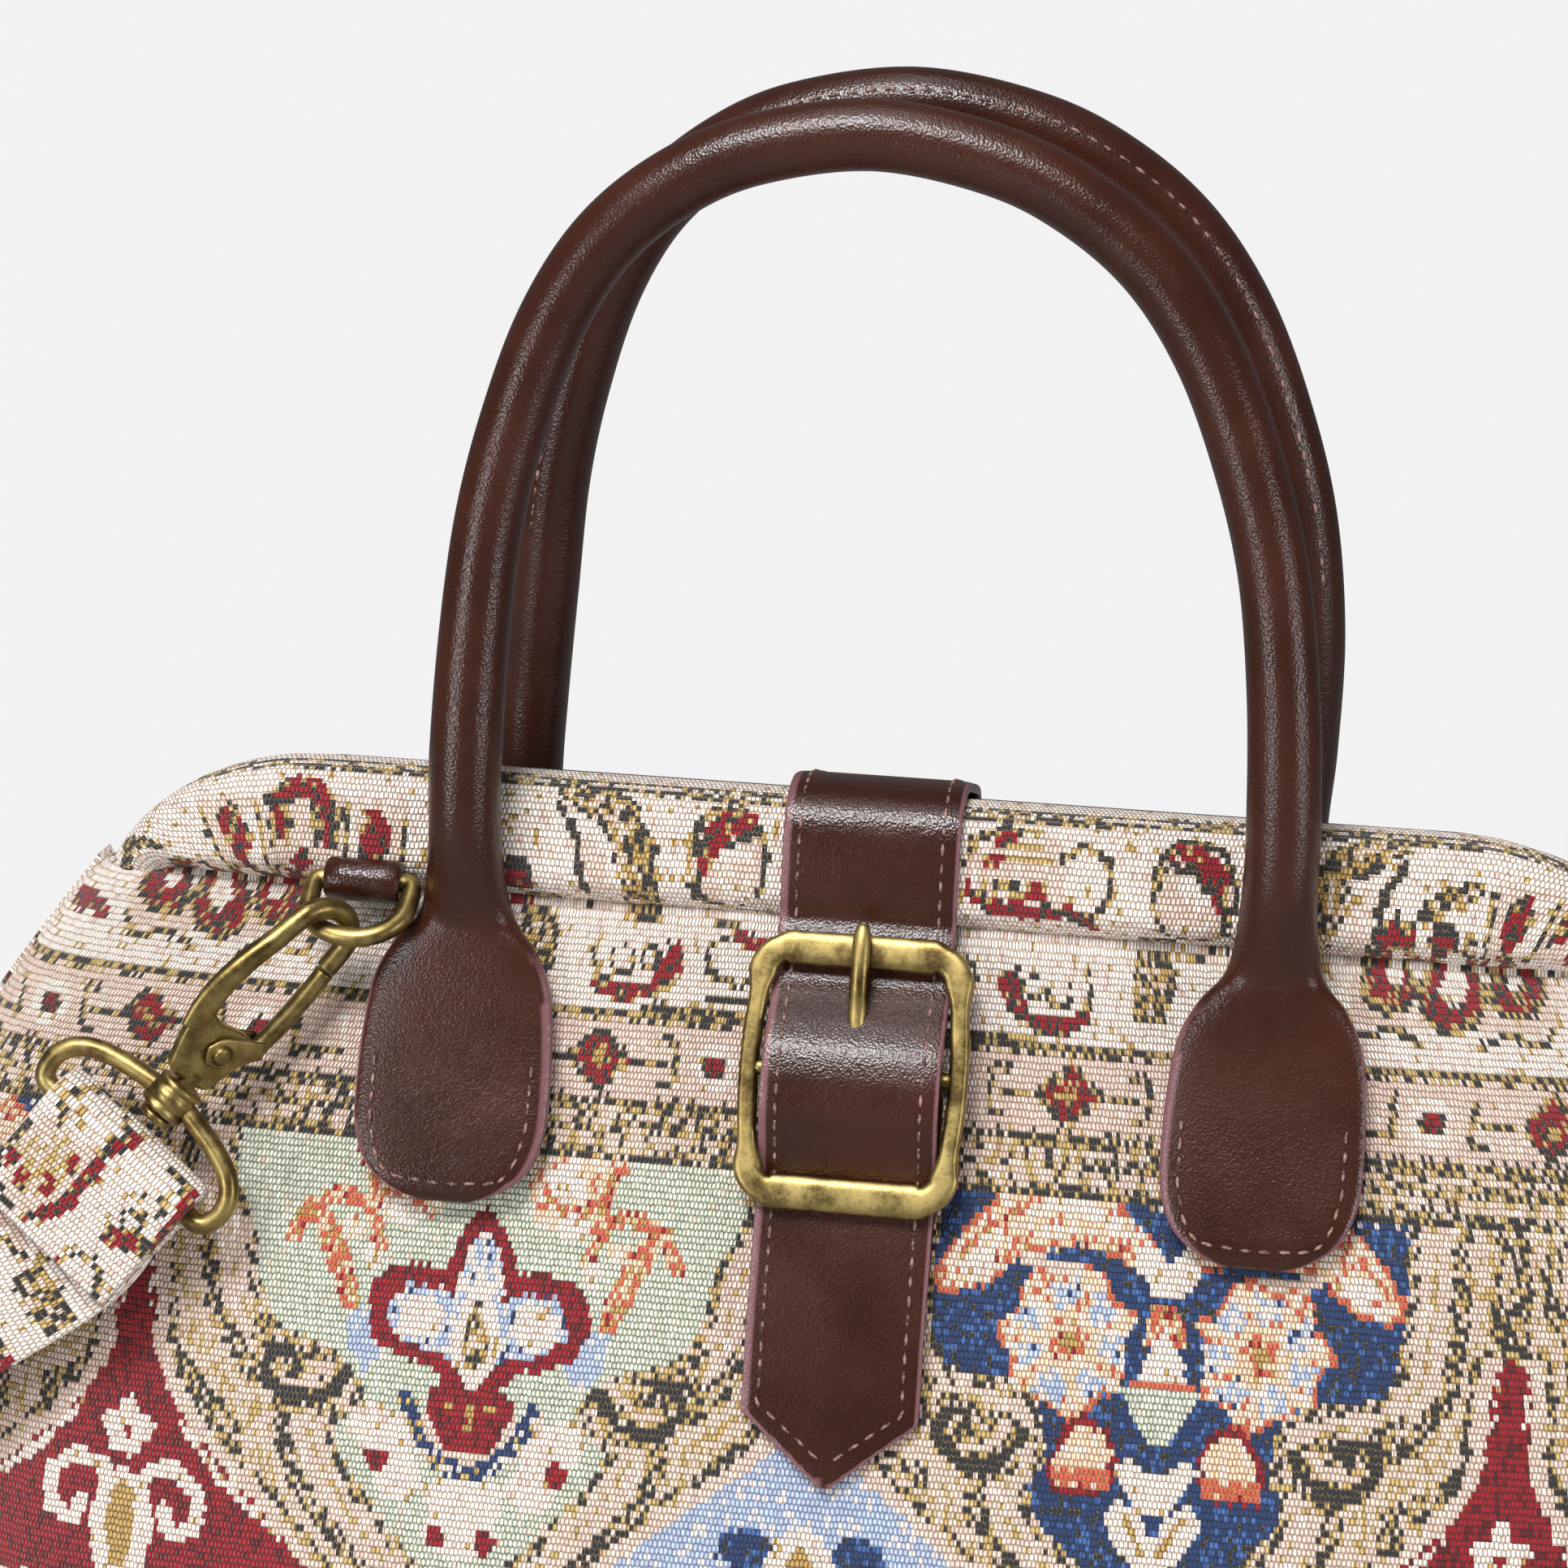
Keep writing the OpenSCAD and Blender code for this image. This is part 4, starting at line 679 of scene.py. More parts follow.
across, along = off_middle(brick), off_middle(tuft_row)
fibre = noise(weave, given_stitch, 3.2, 4.0, 0.7).outputs["Fac"]
tuft = maths(weave, "MULTIPLY", ramp(weave, across, 0.4, 1.0, 1.0, 0.1),
             ramp(weave, along, 0.5, 1.0, 1.0, 0.2))
height = maths(weave, "ADD", tuft, maths(weave, "MULTIPLY", fibre, 0.55))
dots = maths(weave, "MULTIPLY", ramp(weave, along, 0.42, 0.7), ramp(weave, across, 0.4, 0.72))
broken = noise(weave, given_stitch, 0.9, 2.0)
dots = maths(weave, "MULTIPLY", dots, ramp(weave, broken.outputs["Fac"], 0.34, 0.6, 0.1, 0.95))
cell = node(weave, "ShaderNodeCombineXYZ",
            {0: maths(weave, "FLOOR", brick), 1: maths(weave, "FLOOR", tuft_row)})
each = node(weave, "ShaderNodeTexWhiteNoise", {"Vector": cell.outputs[0]}, noise_dimensions="2D")
# Painted shade: each tuft is darker towards the gaps round it and a little lighter on its top, by its height;
# each stitch also differs a little in tone at random
raised = maths(weave, "ADD", tuft, maths(weave, "MULTIPLY", fibre, 0.6))
tuft_painted_shade = ramp(weave, raised, 0.2, 1.1, 0.42, 1.08)
painted_shade_and_tone = maths(weave, "MULTIPLY", tuft_painted_shade, ramp(weave, each.outputs["Value"], 0.0, 1.0, 0.88, 1.08))
painted_shade_pile = node(weave, "ShaderNodeHueSaturation",
             {"Saturation": 1.0, "Value": painted_shade_and_tone, "Color": given.outputs["Pile"]})
mixed = blend(weave, dots, painted_shade_pile.outputs[0], given.outputs["Binding"])
weave.links.new(mixed, made.inputs["Color"])
weave.links.new(height, made.inputs["Height"])
weave.links.new(ramp(weave, fibre, 0.2, 0.8, 0.78, 0.95), made.inputs["Roughness"])

tapestry_cloth, tree, look = new_finish("tapestry_cloth")
stitch = node(tree, "ShaderNodeUVMap", uv_map="stitch")
pile = node(tree, "ShaderNodeVertexColor", layer_name="pile")
bind = node(tree, "ShaderNodeVertexColor", layer_name="bind")
woven = node(tree, "ShaderNodeGroup", {"Stitch": stitch.outputs[0], "Pile": pile.outputs[0],
                                       "Binding": bind.outputs[0]}, node_tree=weave)
dress(tree, look, woven, 0.9, 0.0009)
look.inputs["Sheen Weight"].default_value = 0.15
look.inputs["Sheen Roughness"].default_value = 0.5
look.inputs["Specular IOR Level"].default_value = 0.25

# The strap's line: fold at the front bail, free run, fold at the rear bail
sling_width, sling_thick, bar_reach, flap = 40.0, 5.0, 16.5, 26.0
stitch_across, stitch_along = 1.0, 1.5
lay, fold_radius = 2.9, 5.25
fold_turns = [math.radians(30 * k) for k in range(7)]
fold = np.array([(flap, lay), (flap / 2, lay + 0.4)]
                + [(-fold_radius * math.sin(t), fold_radius * math.cos(t)) for t in fold_turns]
                + [(flap / 2, -lay - 0.4), (flap, -lay)])
front_fold = collar - np.outer(bar_reach + fold[:, 0], axis) + np.outer(fold[:, 1], bail_out)
route = np.array([(-210, -60, 134), (-230, -34, 104), (-238, 6, 70), (-226, 54, 40), (-194, 98, 24),
                  (-140, 128, 21), (-80, 150, 21), (-10, 165, 21), (60, 172, 21), (125, 170, 22),
                  (180, 156, 30), (218, 132, 52), (230, 104, 86), (216, 80, 120)], float)
sling_line = np.vstack([front_fold, route, (front_fold @ half_turn)[::-1]])
heading = np.gradient(sling_line, axis=0)
wide_way = np.vstack([np.tile(bail_side, (len(fold), 1)), np.tile((0.0, 0.0, -1.0), (len(route), 1)),
                      np.tile(half_turn @ bail_side, (len(fold), 1))])
facing = np.cross(heading, wide_way)
facing /= np.linalg.norm(facing, axis=1)[:, None]
sling_length = np.linalg.norm(np.diff(flow(sling_line, 900), axis=0), axis=1).sum()
rows = round(sling_length / stitch_along)
smooth = flow(np.hstack([sling_line, facing]), rows + 1)
sides = 64
shape = hoops(smooth[:, :3], smooth[:, 3:], sling_width / 2, sling_thick / 2, 6.0, sides)
girth = np.concatenate([[0], np.cumsum(np.linalg.norm(np.diff(shape[rows // 2], axis=0), axis=1))])
around = np.cos(np.linspace(0, 2 * np.pi, sides + 1))
from_middle = np.sign(around) * np.abs(around) ** (1 / 3) * sling_width / 2
even = np.linspace(0, girth[-1], round(girth[-1] / stitch_across) + 1)
near_side = np.clip(np.searchsorted(girth, even, side="right") - 1, 0, sides - 1)
part = ((even - girth[near_side]) / (girth[near_side + 1] - girth[near_side]))[None, :, None]
shape = shape[:, near_side] * (1 - part) + shape[:, near_side + 1] * part
cross_mm = np.interp((even[:-1] + even[1:]) / 2, girth, from_middle)
length_mm = (np.arange(rows) + 0.5) * stitch_along
uv = np.stack(np.meshgrid(even / stitch_across, np.arange(rows + 1.0)), -1)


def sling_place(run):
    # Where along the border the strap's print is taken: there and back over 60 mm right of the middle
    return 18 + np.abs((run + 60) % 120 - 60)


sling, cell = laid("sling", shape, uv)
print_x = sling_place(length_mm[:, None] + 0 * cross_mm)
print_v = cross_mm[None] - 4 + 0 * length_mm[:, None]
dye(sling, cell, *tapestry(print_x, print_v, 3))
finish_roll(sling)
sling.data.materials.append(tapestry_cloth)
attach(sling, "bag")
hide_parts("shoulder_strap")

# Front and back panel: one broad piece of tapestry each, cut to a barrel shape, gathered a little
# into the mouth seam and sewn to the gussets and the base. The filled bag swells low down.
body_half_width, body_half_depth, seam_z, panel_low, corner_power = 220.0, 80.0, 233.0, 9.8, 4.0
gusset_angle, cloth_thick = math.radians(11), 2.2
# Height, half width and half depth of the body, each as a share
level_shares = np.array([(0.040, 0.928, 0.925), (0.106, 0.959, 1.000), (0.212, 0.986, 0.981),
                         (0.339, 0.997, 0.913), (0.466, 1.000, 0.825), (0.593, 0.995, 0.713),
                         (0.720, 0.977, 0.588), (0.847, 0.927, 0.450), (0.932, 0.866, 0.356),
                         (0.998, 0.814, 0.275)])


def half_size(z, column):
    # Smooth half width (1) or half depth (2) of the body at a height
    h, s = level_shares[:, 0], level_shares[:, column]
    slope = np.gradient(s, h)
    t = np.clip(np.asarray(z) / seam_z, h[0], h[-1])
    i = np.clip(np.searchsorted(h, t) - 1, 0, len(h) - 2)
    d = h[i + 1] - h[i]
    t = (t - h[i]) / d
    share = ((2 * t ** 3 - 3 * t ** 2 + 1) * s[i] + (t ** 3 - 2 * t ** 2 + t) * d * slope[i]
             + (3 * t ** 2 - 2 * t ** 3) * s[i + 1] + (t ** 3 - t ** 2) * d * slope[i + 1])
    return share * (body_half_width if column == 1 else body_half_depth)


def outline(z, angle):
    # Points on the body's outline at heights and angles
    a, b = half_size(z, 1), half_size(z, 2)
    c, s = np.cos(angle), np.sin(angle)
    r = (np.abs(c) ** corner_power + np.abs(s) ** corner_power) ** (-1 / corner_power)
    return np.stack([a * r * c, b * r * s, z + 0 * r], -1)


# Length of cloth that runs on above the seam, inside the casing
turn_in = 3.4
heights = np.linspace(seam_z + turn_in - 0.4, panel_low, 600)
drops = np.concatenate([[0], np.cumsum(np.hypot(np.diff(heights), np.diff(half_size(heights, 2))))]) - turn_in
panel_rows = round((drops[-1] + turn_in) / stitch_along)
row_drop = np.linspace(drops[-1], -turn_in, panel_rows + 1)
row_z = np.interp(row_drop, drops, heights)
fine = np.linspace(-math.pi + gusset_angle, -gusset_angle, 1201)
ring = outline(row_z[:, None], fine[None])
ring_steps = np.linalg.norm(np.diff(ring, axis=1), axis=2)
run = np.concatenate([np.zeros((len(row_z), 1)), np.cumsum(ring_steps, axis=1)], axis=1)
panel_cols = round(run.max() / stitch_across)
panel = np.empty((panel_rows + 1, panel_cols + 1, 3))
panel_x = np.empty((panel_rows + 1, panel_cols + 1))
for k in range(panel_rows + 1):
    even = np.linspace(0, run[k, -1], panel_cols + 1)
    panel[k] = np.column_stack([np.interp(even, run[k], ring[k, :, n]) for n in range(3)])
    panel_x[k] = even - run[k, -1] / 2


def settle(points, x, v):
    # Soft hollows and gathers of filled cloth, always inwards so that nothing sewn on it is lifted
    du, dv = np.gradient(points, axis=1), np.gradient(points, axis=0)
    out = np.cross(du, dv)
    out /= np.linalg.norm(out, axis=2)[..., None]
    gather = 0.55 * (1 - np.cos(x / 4.4 + np.sin(x / 31))) * np.exp(-v / 9)
    hollow = 1.3 * (1 - np.cos(x / 26 + 0.8)) * np.exp(-((v - 36) / 34) ** 2)
    slack = 1.0 * (1 + np.sin(x / 43 + v / 21)) * np.clip(v / 60, 0, 1) * np.clip((235 - v) / 60, 0, 1)
    tuck = 4.5 * np.clip((4.6 - v) / 8, 0, 1) ** 2
    pull = 1.4 * np.exp(-((np.abs(x) - 172 - v * 0.16) / 12) ** 2) * np.clip(v / 40, 0, 1)
    return points - out * (gather + hollow + slack + pull + tuck)[..., None]


def middles(grid):
    return (grid[1:, 1:] + grid[:-1, 1:] + grid[1:, :-1] + grid[:-1, :-1]) / 4


panel_v = np.repeat(row_drop[:, None], panel_cols + 1, axis=1)
panel_uv = np.stack(np.meshgrid(np.arange(panel_cols + 1.0), np.arange(panel_rows + 1.0)), -1)
settled = settle(panel, panel_x, panel_v)
# Towards the ends, where the casing tapers off, the turned-in edge stays below the seam
settled[..., 2] -= np.clip(-panel_v, 0, turn_in) * np.clip((np.abs(panel_x) - 150) / 15, 0, 1)
for name, turn, seed in (("front_panel", np.eye(3), 11), ("back_panel", half_turn, 12)):
    piece, cell = laid("tapestry_" + name, settled @ turn, panel_uv)
    dye(piece, cell, *tapestry(middles(panel_x), middles(panel_v), seed))
    thick = piece.modifiers.new("cloth", "SOLIDIFY")
    thick.thickness, thick.offset, thick.use_rim_only = cloth_thick * MM, -1.0, True
    piece.data.materials.append(tapestry_cloth)
    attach(piece, "bag")
    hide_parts(name)

# Gussets: a narrow strip of the same cloth at each end, sewn between the two panels and drawn in
# along its middle. Its top edge stays below the seam.
strip = np.linspace(-gusset_angle, gusset_angle, 23)
side = outline(row_z[:, None], strip[None])
sag = 5.0 * np.cos(strip / gusset_angle * math.pi / 2)[None] * np.clip(row_drop / 60, 0, 1)[:, None]
side[..., 0] -= sag
side[..., 2] -= np.clip(-row_drop, 0, turn_in)[:, None]
side_steps = np.linalg.norm(np.diff(side, axis=1, prepend=side[:, :1]), axis=2)
side_x = np.cumsum(side_steps, axis=1) + run[:, -1:] / 2
side_v = np.repeat(row_drop[:, None], len(strip), axis=1)
side_uv = np.stack([side_x / stitch_across, side_v / stitch_along], -1)
for name, turn in (("right_gusset", np.eye(3)), ("left_gusset", half_turn)):
    piece, cell = laid("tapestry_" + name, side @ turn, side_uv)
    dye(piece, cell, *tapestry(middles(side_x), middles(side_v), 13))
    thick = piece.modifiers.new("cloth", "SOLIDIFY")
    thick.thickness, thick.offset = cloth_thick * MM, -1.0
    piece.data.materials.append(tapestry_cloth)
    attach(piece, "bag")
    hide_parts(name)

# Base: a flat panel of the cloth under a stiff board, its edges turned up and sewn to the panels
# and gussets all round.
base_z, base_rows, base_cols = 7.6, 86, 280
across = np.linspace(-1, 1, base_cols + 1)[None]
deep = np.linspace(1, -1, base_rows + 1)[:, None]
a, b = float(half_size(base_z, 1)) - 1.5, float(half_size(base_z, 2)) - 1.5
base = np.stack([a * across * (1 - 0.5 * np.abs(deep) ** 6 * np.abs(across) ** 6 * 0.35) + 0 * deep,
                 b * deep * (1 - 0.5 * np.abs(deep) ** 6 * np.abs(across) ** 6 * 0.9) + 0 * across,
                 base_z + 1.2 * np.maximum(np.abs(across), np.abs(deep)) ** 14], -1)
base_x, base_v = base[..., 0], 150 + base[..., 1]
base_uv = np.stack([base[..., 0] / stitch_across, base[..., 1] / stitch_along], -1)
piece, cell = laid("tapestry_base", base, base_uv)
dye(piece, cell, *tapestry(middles(base_x), middles(base_v), 14))
thick = piece.modifiers.new("cloth", "SOLIDIFY")
thick.thickness, thick.offset = 1.6 * MM, -1.0
piece.data.materials.append(tapestry_cloth)
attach(piece, "bag")
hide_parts("base_panel")

# Casings: the turned-over top edges of the panels, sewn into channels round the two frame rods.
# They are full along the mouth and taper off round the frame's corners.
ridge_z, rod_top, frame_straight, frame_corner, rod_end = 261.0, 253.5, 125.0, 50.0, math.radians(20)
casing_depth, casing_end_depth, casing_square = 22.0, 11.8, 2.5
# Turn along the corner, outer reach, inner reach and depth, each as a share
casing_shares = np.array([(1.00, 1.00, 1.00, 1.00), (0.80, 1.00, 0.955, 1.00), (0.62, 1.02, 0.82, 0.96),
                          (0.45, 1.04, 0.585, 0.78), (0.30, 1.06, 0.28, 0.30), (0.17, 1.04, 0.34, -0.14)])
turn_angle = rod_end + (math.pi / 2 - rod_end) * casing_shares[:, 0]
corner = np.column_stack([frame_straight + frame_corner * np.cos(turn_angle), 0 * turn_angle,
                          rod_top - frame_corner + frame_corner * np.sin(turn_angle), np.cos(turn_angle),
                          np.sin(turn_angle), (ridge_z - rod_top) * casing_shares[:, 1],
                          (rod_top - seam_z) * casing_shares[:, 2],
                          casing_end_depth + (casing_depth - casing_end_depth) * casing_shares[:, 3]])
straight = np.array([(frame_straight * k / 3, 0, rod_top, 0, 1, ridge_z - rod_top, rod_top - seam_z,
                      casing_depth) for k in (-2, -1, 0, 1, 2)])
left = corner[::-1] * (-1, 1, 1, -1, 1, 1, 1, 1)
mouth = flow(np.vstack([left, straight, corner]), 300)
f = np.linspace(-math.pi / 2, 1.5 * math.pi, 61)
c = np.sign(np.cos(f)) * np.abs(np.cos(f)) ** (2 / casing_square)
s = np.sign(np.sin(f)) * np.abs(np.sin(f)) ** (2 / casing_square)
high = (mouth[:, 5] + mouth[:, 6]) / 2
reach = ((mouth[:, 5] - mouth[:, 6]) / 2)[:, None] + high[:, None] * s[None]
casing = np.stack([mouth[:, :1] + mouth[:, 3:4] * reach, -0.2 - mouth[:, 7:] / 2 - mouth[:, 7:] / 2 * c[None],
                   mouth[:, 2:3] + mouth[:, 4:5] * reach], -1)
mouth_x = np.cumsum(np.linalg.norm(np.diff(mouth[:, :3], axis=0, prepend=mouth[:1, :3]), axis=1))
mouth_x -= mouth_x[-1] / 2
girth = np.cumsum(np.linalg.norm(np.diff(casing, axis=1, prepend=casing[:, :1]), axis=2), axis=1)
casing_x = np.repeat(mouth_x[:, None], len(f), axis=1)
casing_v = 9.0 - girth
roll = np.exp(-((casing_v + 4.5) / 5) ** 2)
pleat = 0.5 + 0.5 * np.cos(casing_x / 6.5 + 1.4 * np.sin(casing_x / 21))
casing[..., 1] -= roll * (2.6 - 1.5 * pleat)
casing[..., 1] += 0.9 * pleat * np.exp(-((casing_v + 14) / 7) ** 2)
# The ridge of the back casing lies this much lower
back_drop = 6.5
casing_uv = np.stack([casing_x / stitch_across, -casing_v / stitch_along], -1)
risen = np.clip((casing[..., 2] - seam_z) / (ridge_z - seam_z), 0, 1)
for name, turn, drop in (("front_casing", np.eye(3), 0.0), ("back_casing", half_turn, back_drop)):
    shaped = casing.copy()
    shaped[..., 2] -= drop * risen
    piece, cell = laid("tapestry_" + name, shaped @ turn, casing_uv)
    dye(piece, cell, *tapestry(middles(casing_x), np.clip(middles(casing_v), -31, 6), 15))
    finish_roll(piece)
    piece.data.materials.append(tapestry_cloth)
    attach(piece, "bag")
    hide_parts(name)

# Handles: a strip of dark brown cowhide rolled round a cord and sewn shut, opened out at both ends
# into flat pads with painted edges. Each pad is sewn to its panel round its lower half.
hide, given, made = shader_group(
    "grained_hide", [("Place", "NodeSocketVector", None), ("Edge", "NodeSocketFloat", 0.0)],
    [("Color", "NodeSocketColor"), ("Height", "NodeSocketFloat"), ("Roughness", "NodeSocketFloat")])
spot = given.outputs["Place"]
pores = node(hide, "ShaderNodeTexVoronoi", {"Vector": spot, "Scale": 1700.0}, feature="F1")
creases = noise(hide, spot, 420.0, 5.0, 0.65).outputs["Fac"]
clouds = noise(hide, spot, 38.0, 3.0).outputs["Fac"]
scuff = noise(hide, spot, 160.0, 6.0, 0.8).outputs["Fac"]
brown = blend(hide, ramp(hide, clouds, 0.3, 0.7), "2A1109", "35160C")
brown = blend(hide, ramp(hide, scuff, 0.6, 0.78, 0.0, 0.25), brown, "45231A")
brown = blend(hide, given.outputs["Edge"], brown, "68464A")
grain = maths(hide, "ADD", maths(hide, "MULTIPLY", pores.outputs["Distance"], 0.6),
              maths(hide, "MULTIPLY", creases, 0.9))
worn = maths(hide, "ADD", clouds, maths(hide, "MULTIPLY", scuff, 0.5))
hide.links.new(brown, made.inputs["Color"])
hide.links.new(grain, made.inputs["Height"])
hide.links.new(ramp(hide, worn, 0.5, 1.0, 0.22, 0.31), made.inputs["Roughness"])

leather, tree, look = new_finish("brown_leather")
at = node(tree, "ShaderNodeTexCoord")
edge = node(tree, "ShaderNodeAttribute", attribute_name="edge")
skin = node(tree, "ShaderNodeGroup", {"Place": at.outputs["Object"], "Edge": edge.outputs["Fac"]},
            node_tree=hide)
dress(tree, look, skin, 0.42, 0.0003)
look.inputs["Specular IOR Level"].default_value = 0.40

thread, tree, look = new_finish("waxed_thread")
at = node(tree, "ShaderNodeTexCoord")
# Dark thread flecked with pale pink at random: partly the thread's own colour, partly painted highlight
pink_and_sheen_flecks = noise(tree, at.outputs["Object"], 900.0, 3.0)
tone = blend(tree, ramp(tree, pink_and_sheen_flecks.outputs["Fac"], 0.35, 0.65), "2E1A16", "8E6A60")
tree.links.new(tone, look.inputs["Base Color"])
look.inputs["Roughness"].default_value = 0.6
# Width of the painted edges
edge_paint = 1.15


def leather_piece(name, shape, square_edge, replaced):
    # Rolled leather grid with painted edges where the section turns round its sides
    rows, cols = shape.shape[:2]
    uv = np.stack(np.meshgrid(np.linspace(0, 1, cols), np.linspace(0, 1, rows)), -1)
    piece, _ = laid(name, shape, uv)
    across = shape[:, 0] - shape[:, (cols - 1) // 2]
    wide = np.linalg.norm(across, axis=1)
    offset = ((shape - shape.mean(axis=1, keepdims=True)) * (across / wide[:, None])[:, None]).sum(axis=2)
    painted = (wide[:, None] / 2 - np.abs(offset) < edge_paint) * square_edge[:, None]
    values = piece.data.attributes.new("edge", "FLOAT", "CORNER")
    loop_uv = np.empty(len(piece.data.loops) * 2)
    piece.data.uv_layers["stitch"].uv.foreach_get("vector", loop_uv)
    ix = np.rint(loop_uv[0::2] * (cols - 1)).astype(int)
    iy = np.rint(loop_uv[1::2] * (rows - 1)).astype(int)
    values.data.foreach_set("value", painted[iy, ix].astype(np.float32))
    finish_roll(piece)
    piece.data.materials.append(leather)
    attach(piece, "bag")
    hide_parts(replaced)


def sewn(name, line, outward, pitch=4.1, length=3.0, thick=0.42):
    # Row of single stitches along a line in millimetres, each a short slack roll of thread
    total = np.linalg.norm(np.diff(line, axis=0), axis=1).sum()
    spots = flow(np.hstack([line, outward]), max(2, round(total / pitch)) * 2 + 1)[1::2]
    ahead = np.gradient(spots[:, :3], axis=0)
    bm = bmesh.new()
    for p, t in zip(spots, ahead):
        t = Vector(t).normalized()
        n = Vector(p[3:])
        n = (n - t * n.dot(t)).normalized()
        turn = Matrix((t * length / 2, t.cross(n) * thick, n * thick)).transposed().to_4x4()
        place = Matrix.Translation(Vector(p[:3]) * MM) @ Matrix.Scale(MM, 4) @ turn
        bmesh.ops.create_uvsphere(bm, u_segments=6, v_segments=5, radius=1.0, matrix=place)
    bmesh.ops.recalc_face_normals(bm, faces=bm.faces)
    piece = object_from(name, bm)
    piece.data.materials.append(thread)
    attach(piece, "bag")


def face_y(x, z):
    # Depth of the front panel's face at a place across and a height
    a, b = half_size(z, 1), half_size(z, 2)
    return -b * (1 - np.minimum(np.abs(x) / a, 1) ** corner_power) ** (1 / corner_power)


half_span, front_rise, back_rise, back_drift = 88.0, 171.0, 175.5, 5.0
handle_radius, neck_y, top_y, lean, drift_share = 7.5, 30.1, 15.0, 6.0, 0.4
pad_width, pad_thick, pad_drop = 43.0, 5.0, 60.0
# Share of the pad's drop from its bottom, with width and thickness shares
pad_shares = [(0.000, 0.30, 0.70), (0.025, 0.52, 0.90), (0.07, 0.73, 1.00), (0.14, 0.89, 1.00),
              (0.26, 0.99, 1.00), (0.45, 1.00, 1.00), (0.62, 0.97, 1.08), (0.76, 0.90, 1.28),
              (0.88, 0.72, 1.65), (1.00, 0.47, 2.20)]
# Share of the rise above the seam with the share of the half span
arch_shares = [(0.095, 1.00), (0.20, 1.00), (0.35, 0.985), (0.50, 0.95), (0.63, 0.885), (0.756, 0.79),
               (0.857, 0.66), (0.929, 0.49), (0.976, 0.29), (1.00, 0.00)]


def leg(side, rise, drift):
    # Stations from a pad's bottom up one leg to the top: place, half width, half thickness, squareness
    rows = []
    for s, w, t in pad_shares:
        z, half = seam_z - pad_drop * (1 - s), pad_thick / 2 * t
        y = face_y(half_span - pad_width / 2, z) - 0.4 - half
        rows.append((side * half_span, y, z, pad_width / 2 * w, half, 2.2 + 2.8 * (1 - s) ** 0.6))
    for s, x in arch_shares:
        lift = max(0, (s - arch_shares[1][0]) / (1 - arch_shares[1][0]))
        thick = handle_radius + 0.7 * max(0, 1 - s / 0.5)
        across = side * half_span * x + drift * min(1, s / drift_share) - lean * s * s
        y = -neck_y + (neck_y - top_y) * lift
        rows.append((across, y, seam_z + rise * s, thick, thick, 2))
    return rows


for name, flip, rise, drift in (("front_handle", 1.0, front_rise, 0.0),
                                ("back_handle", -1.0, back_rise, back_drift)):
    stations = np.array(leg(-1, rise, drift) + leg(1, rise, drift)[-2::-1])
    line = flow(stations, 520)
    forward = np.tile((0.0, -1.0, 0.0), (len(line), 1))
    shape = hoops(line[:, :3], forward, line[:, 3], line[:, 4], np.clip(line[:, 5], 2, 5), 48)
    shape = shape * (1, flip, 1)
    leather_piece("rolled_" + name, shape, np.clip((line[:, 5] - 3.0) / 0.4, 0, 1), name)
    # Seam of the roll, facing the other handle: inside the arch in front, outside the arch at the back
    roll = line[(line[:, 2] > seam_z + 0.42 * rise)]
    middle = np.array([-lean * 0.4 + drift, 0, seam_z + rise * 0.45])
    inward = middle - roll[:, :3]
    inward[:, 1] = 0
    inward /= np.linalg.norm(inward, axis=1)[:, None]
    inward = inward * (0.5 if name == "front_handle" else -0.42) + np.array([0, 0.86, 0])
    inward /= np.linalg.norm(inward, axis=1)[:, None]
    seam = roll[:, :3] + inward * (handle_radius + 0.05)
    sewn("seam_" + name, seam * (1, flip, 1), inward * (1, flip, 1))
    for tag, side in (("left", -1), ("right", 1)):
        inset, low, high = 4.0, seam_z - pad_drop + 4.2, seam_z - pad_drop * 0.5
        z = np.concatenate([np.linspace(high, low, 30), np.linspace(low, high, 30)])
        share = (z - (seam_z - pad_drop)) / pad_drop
        table = np.array(pad_shares)
        w = pad_width / 2 * np.interp(share, table[:, 0], table[:, 1]) - inset
        w = np.concatenate([-np.maximum(w[:30], 0), np.maximum(w[30:], 0)])
        w[29:31] = (-2.0, 2.0)
        y = face_y(half_span - pad_width / 2, z) - 0.4 - pad_thick - 0.1
        row = np.column_stack([side * half_span + w, y * flip, z])
        sewn("stitching_" + name + "_" + tag, row, np.tile((0.0, -flip, 0.0), (len(row), 1)))

# Closure strap: one leather strip, sewn under the back casing, brought over the mouth, through the
# buckle and left to hang to a point. Both edges are painted and sewn along.
strap_width, strap_thick, strap_point = 38.5, 2.6, 15.0
buckle_mid, buckle_height, buckle_thick = 29.0, 60.0, 4.2
buckle_z = seam_z - buckle_mid
buckle_lean = math.atan((face_y(0, buckle_z + 30) - face_y(0, buckle_z - 30)) / 60)
casing_front = casing_depth + 0.2


def on_plane(u, d):
    # Place in the buckle's sloping plane: down the slope from the seam and out of it, as depth and height
    return (float(face_y(0, buckle_z)) - math.sin(buckle_lean) * (u - buckle_mid) - math.cos(buckle_lean) * d,
            buckle_z - math.cos(buckle_lean) * (u - buckle_mid) + math.sin(buckle_lean) * d)


# Distances out of the panel: the buckle's bar, the strap flat on the panel, under the rim and over the bar
bar_d, on_panel, under_bar, over_bar = 7.2, 1.7, 3.4, 12.4
back_run = [(-float(face_y(0, s * seam_z)) + on_panel, s * seam_z) for s in (0.79, 0.85, 0.91, 0.97)]
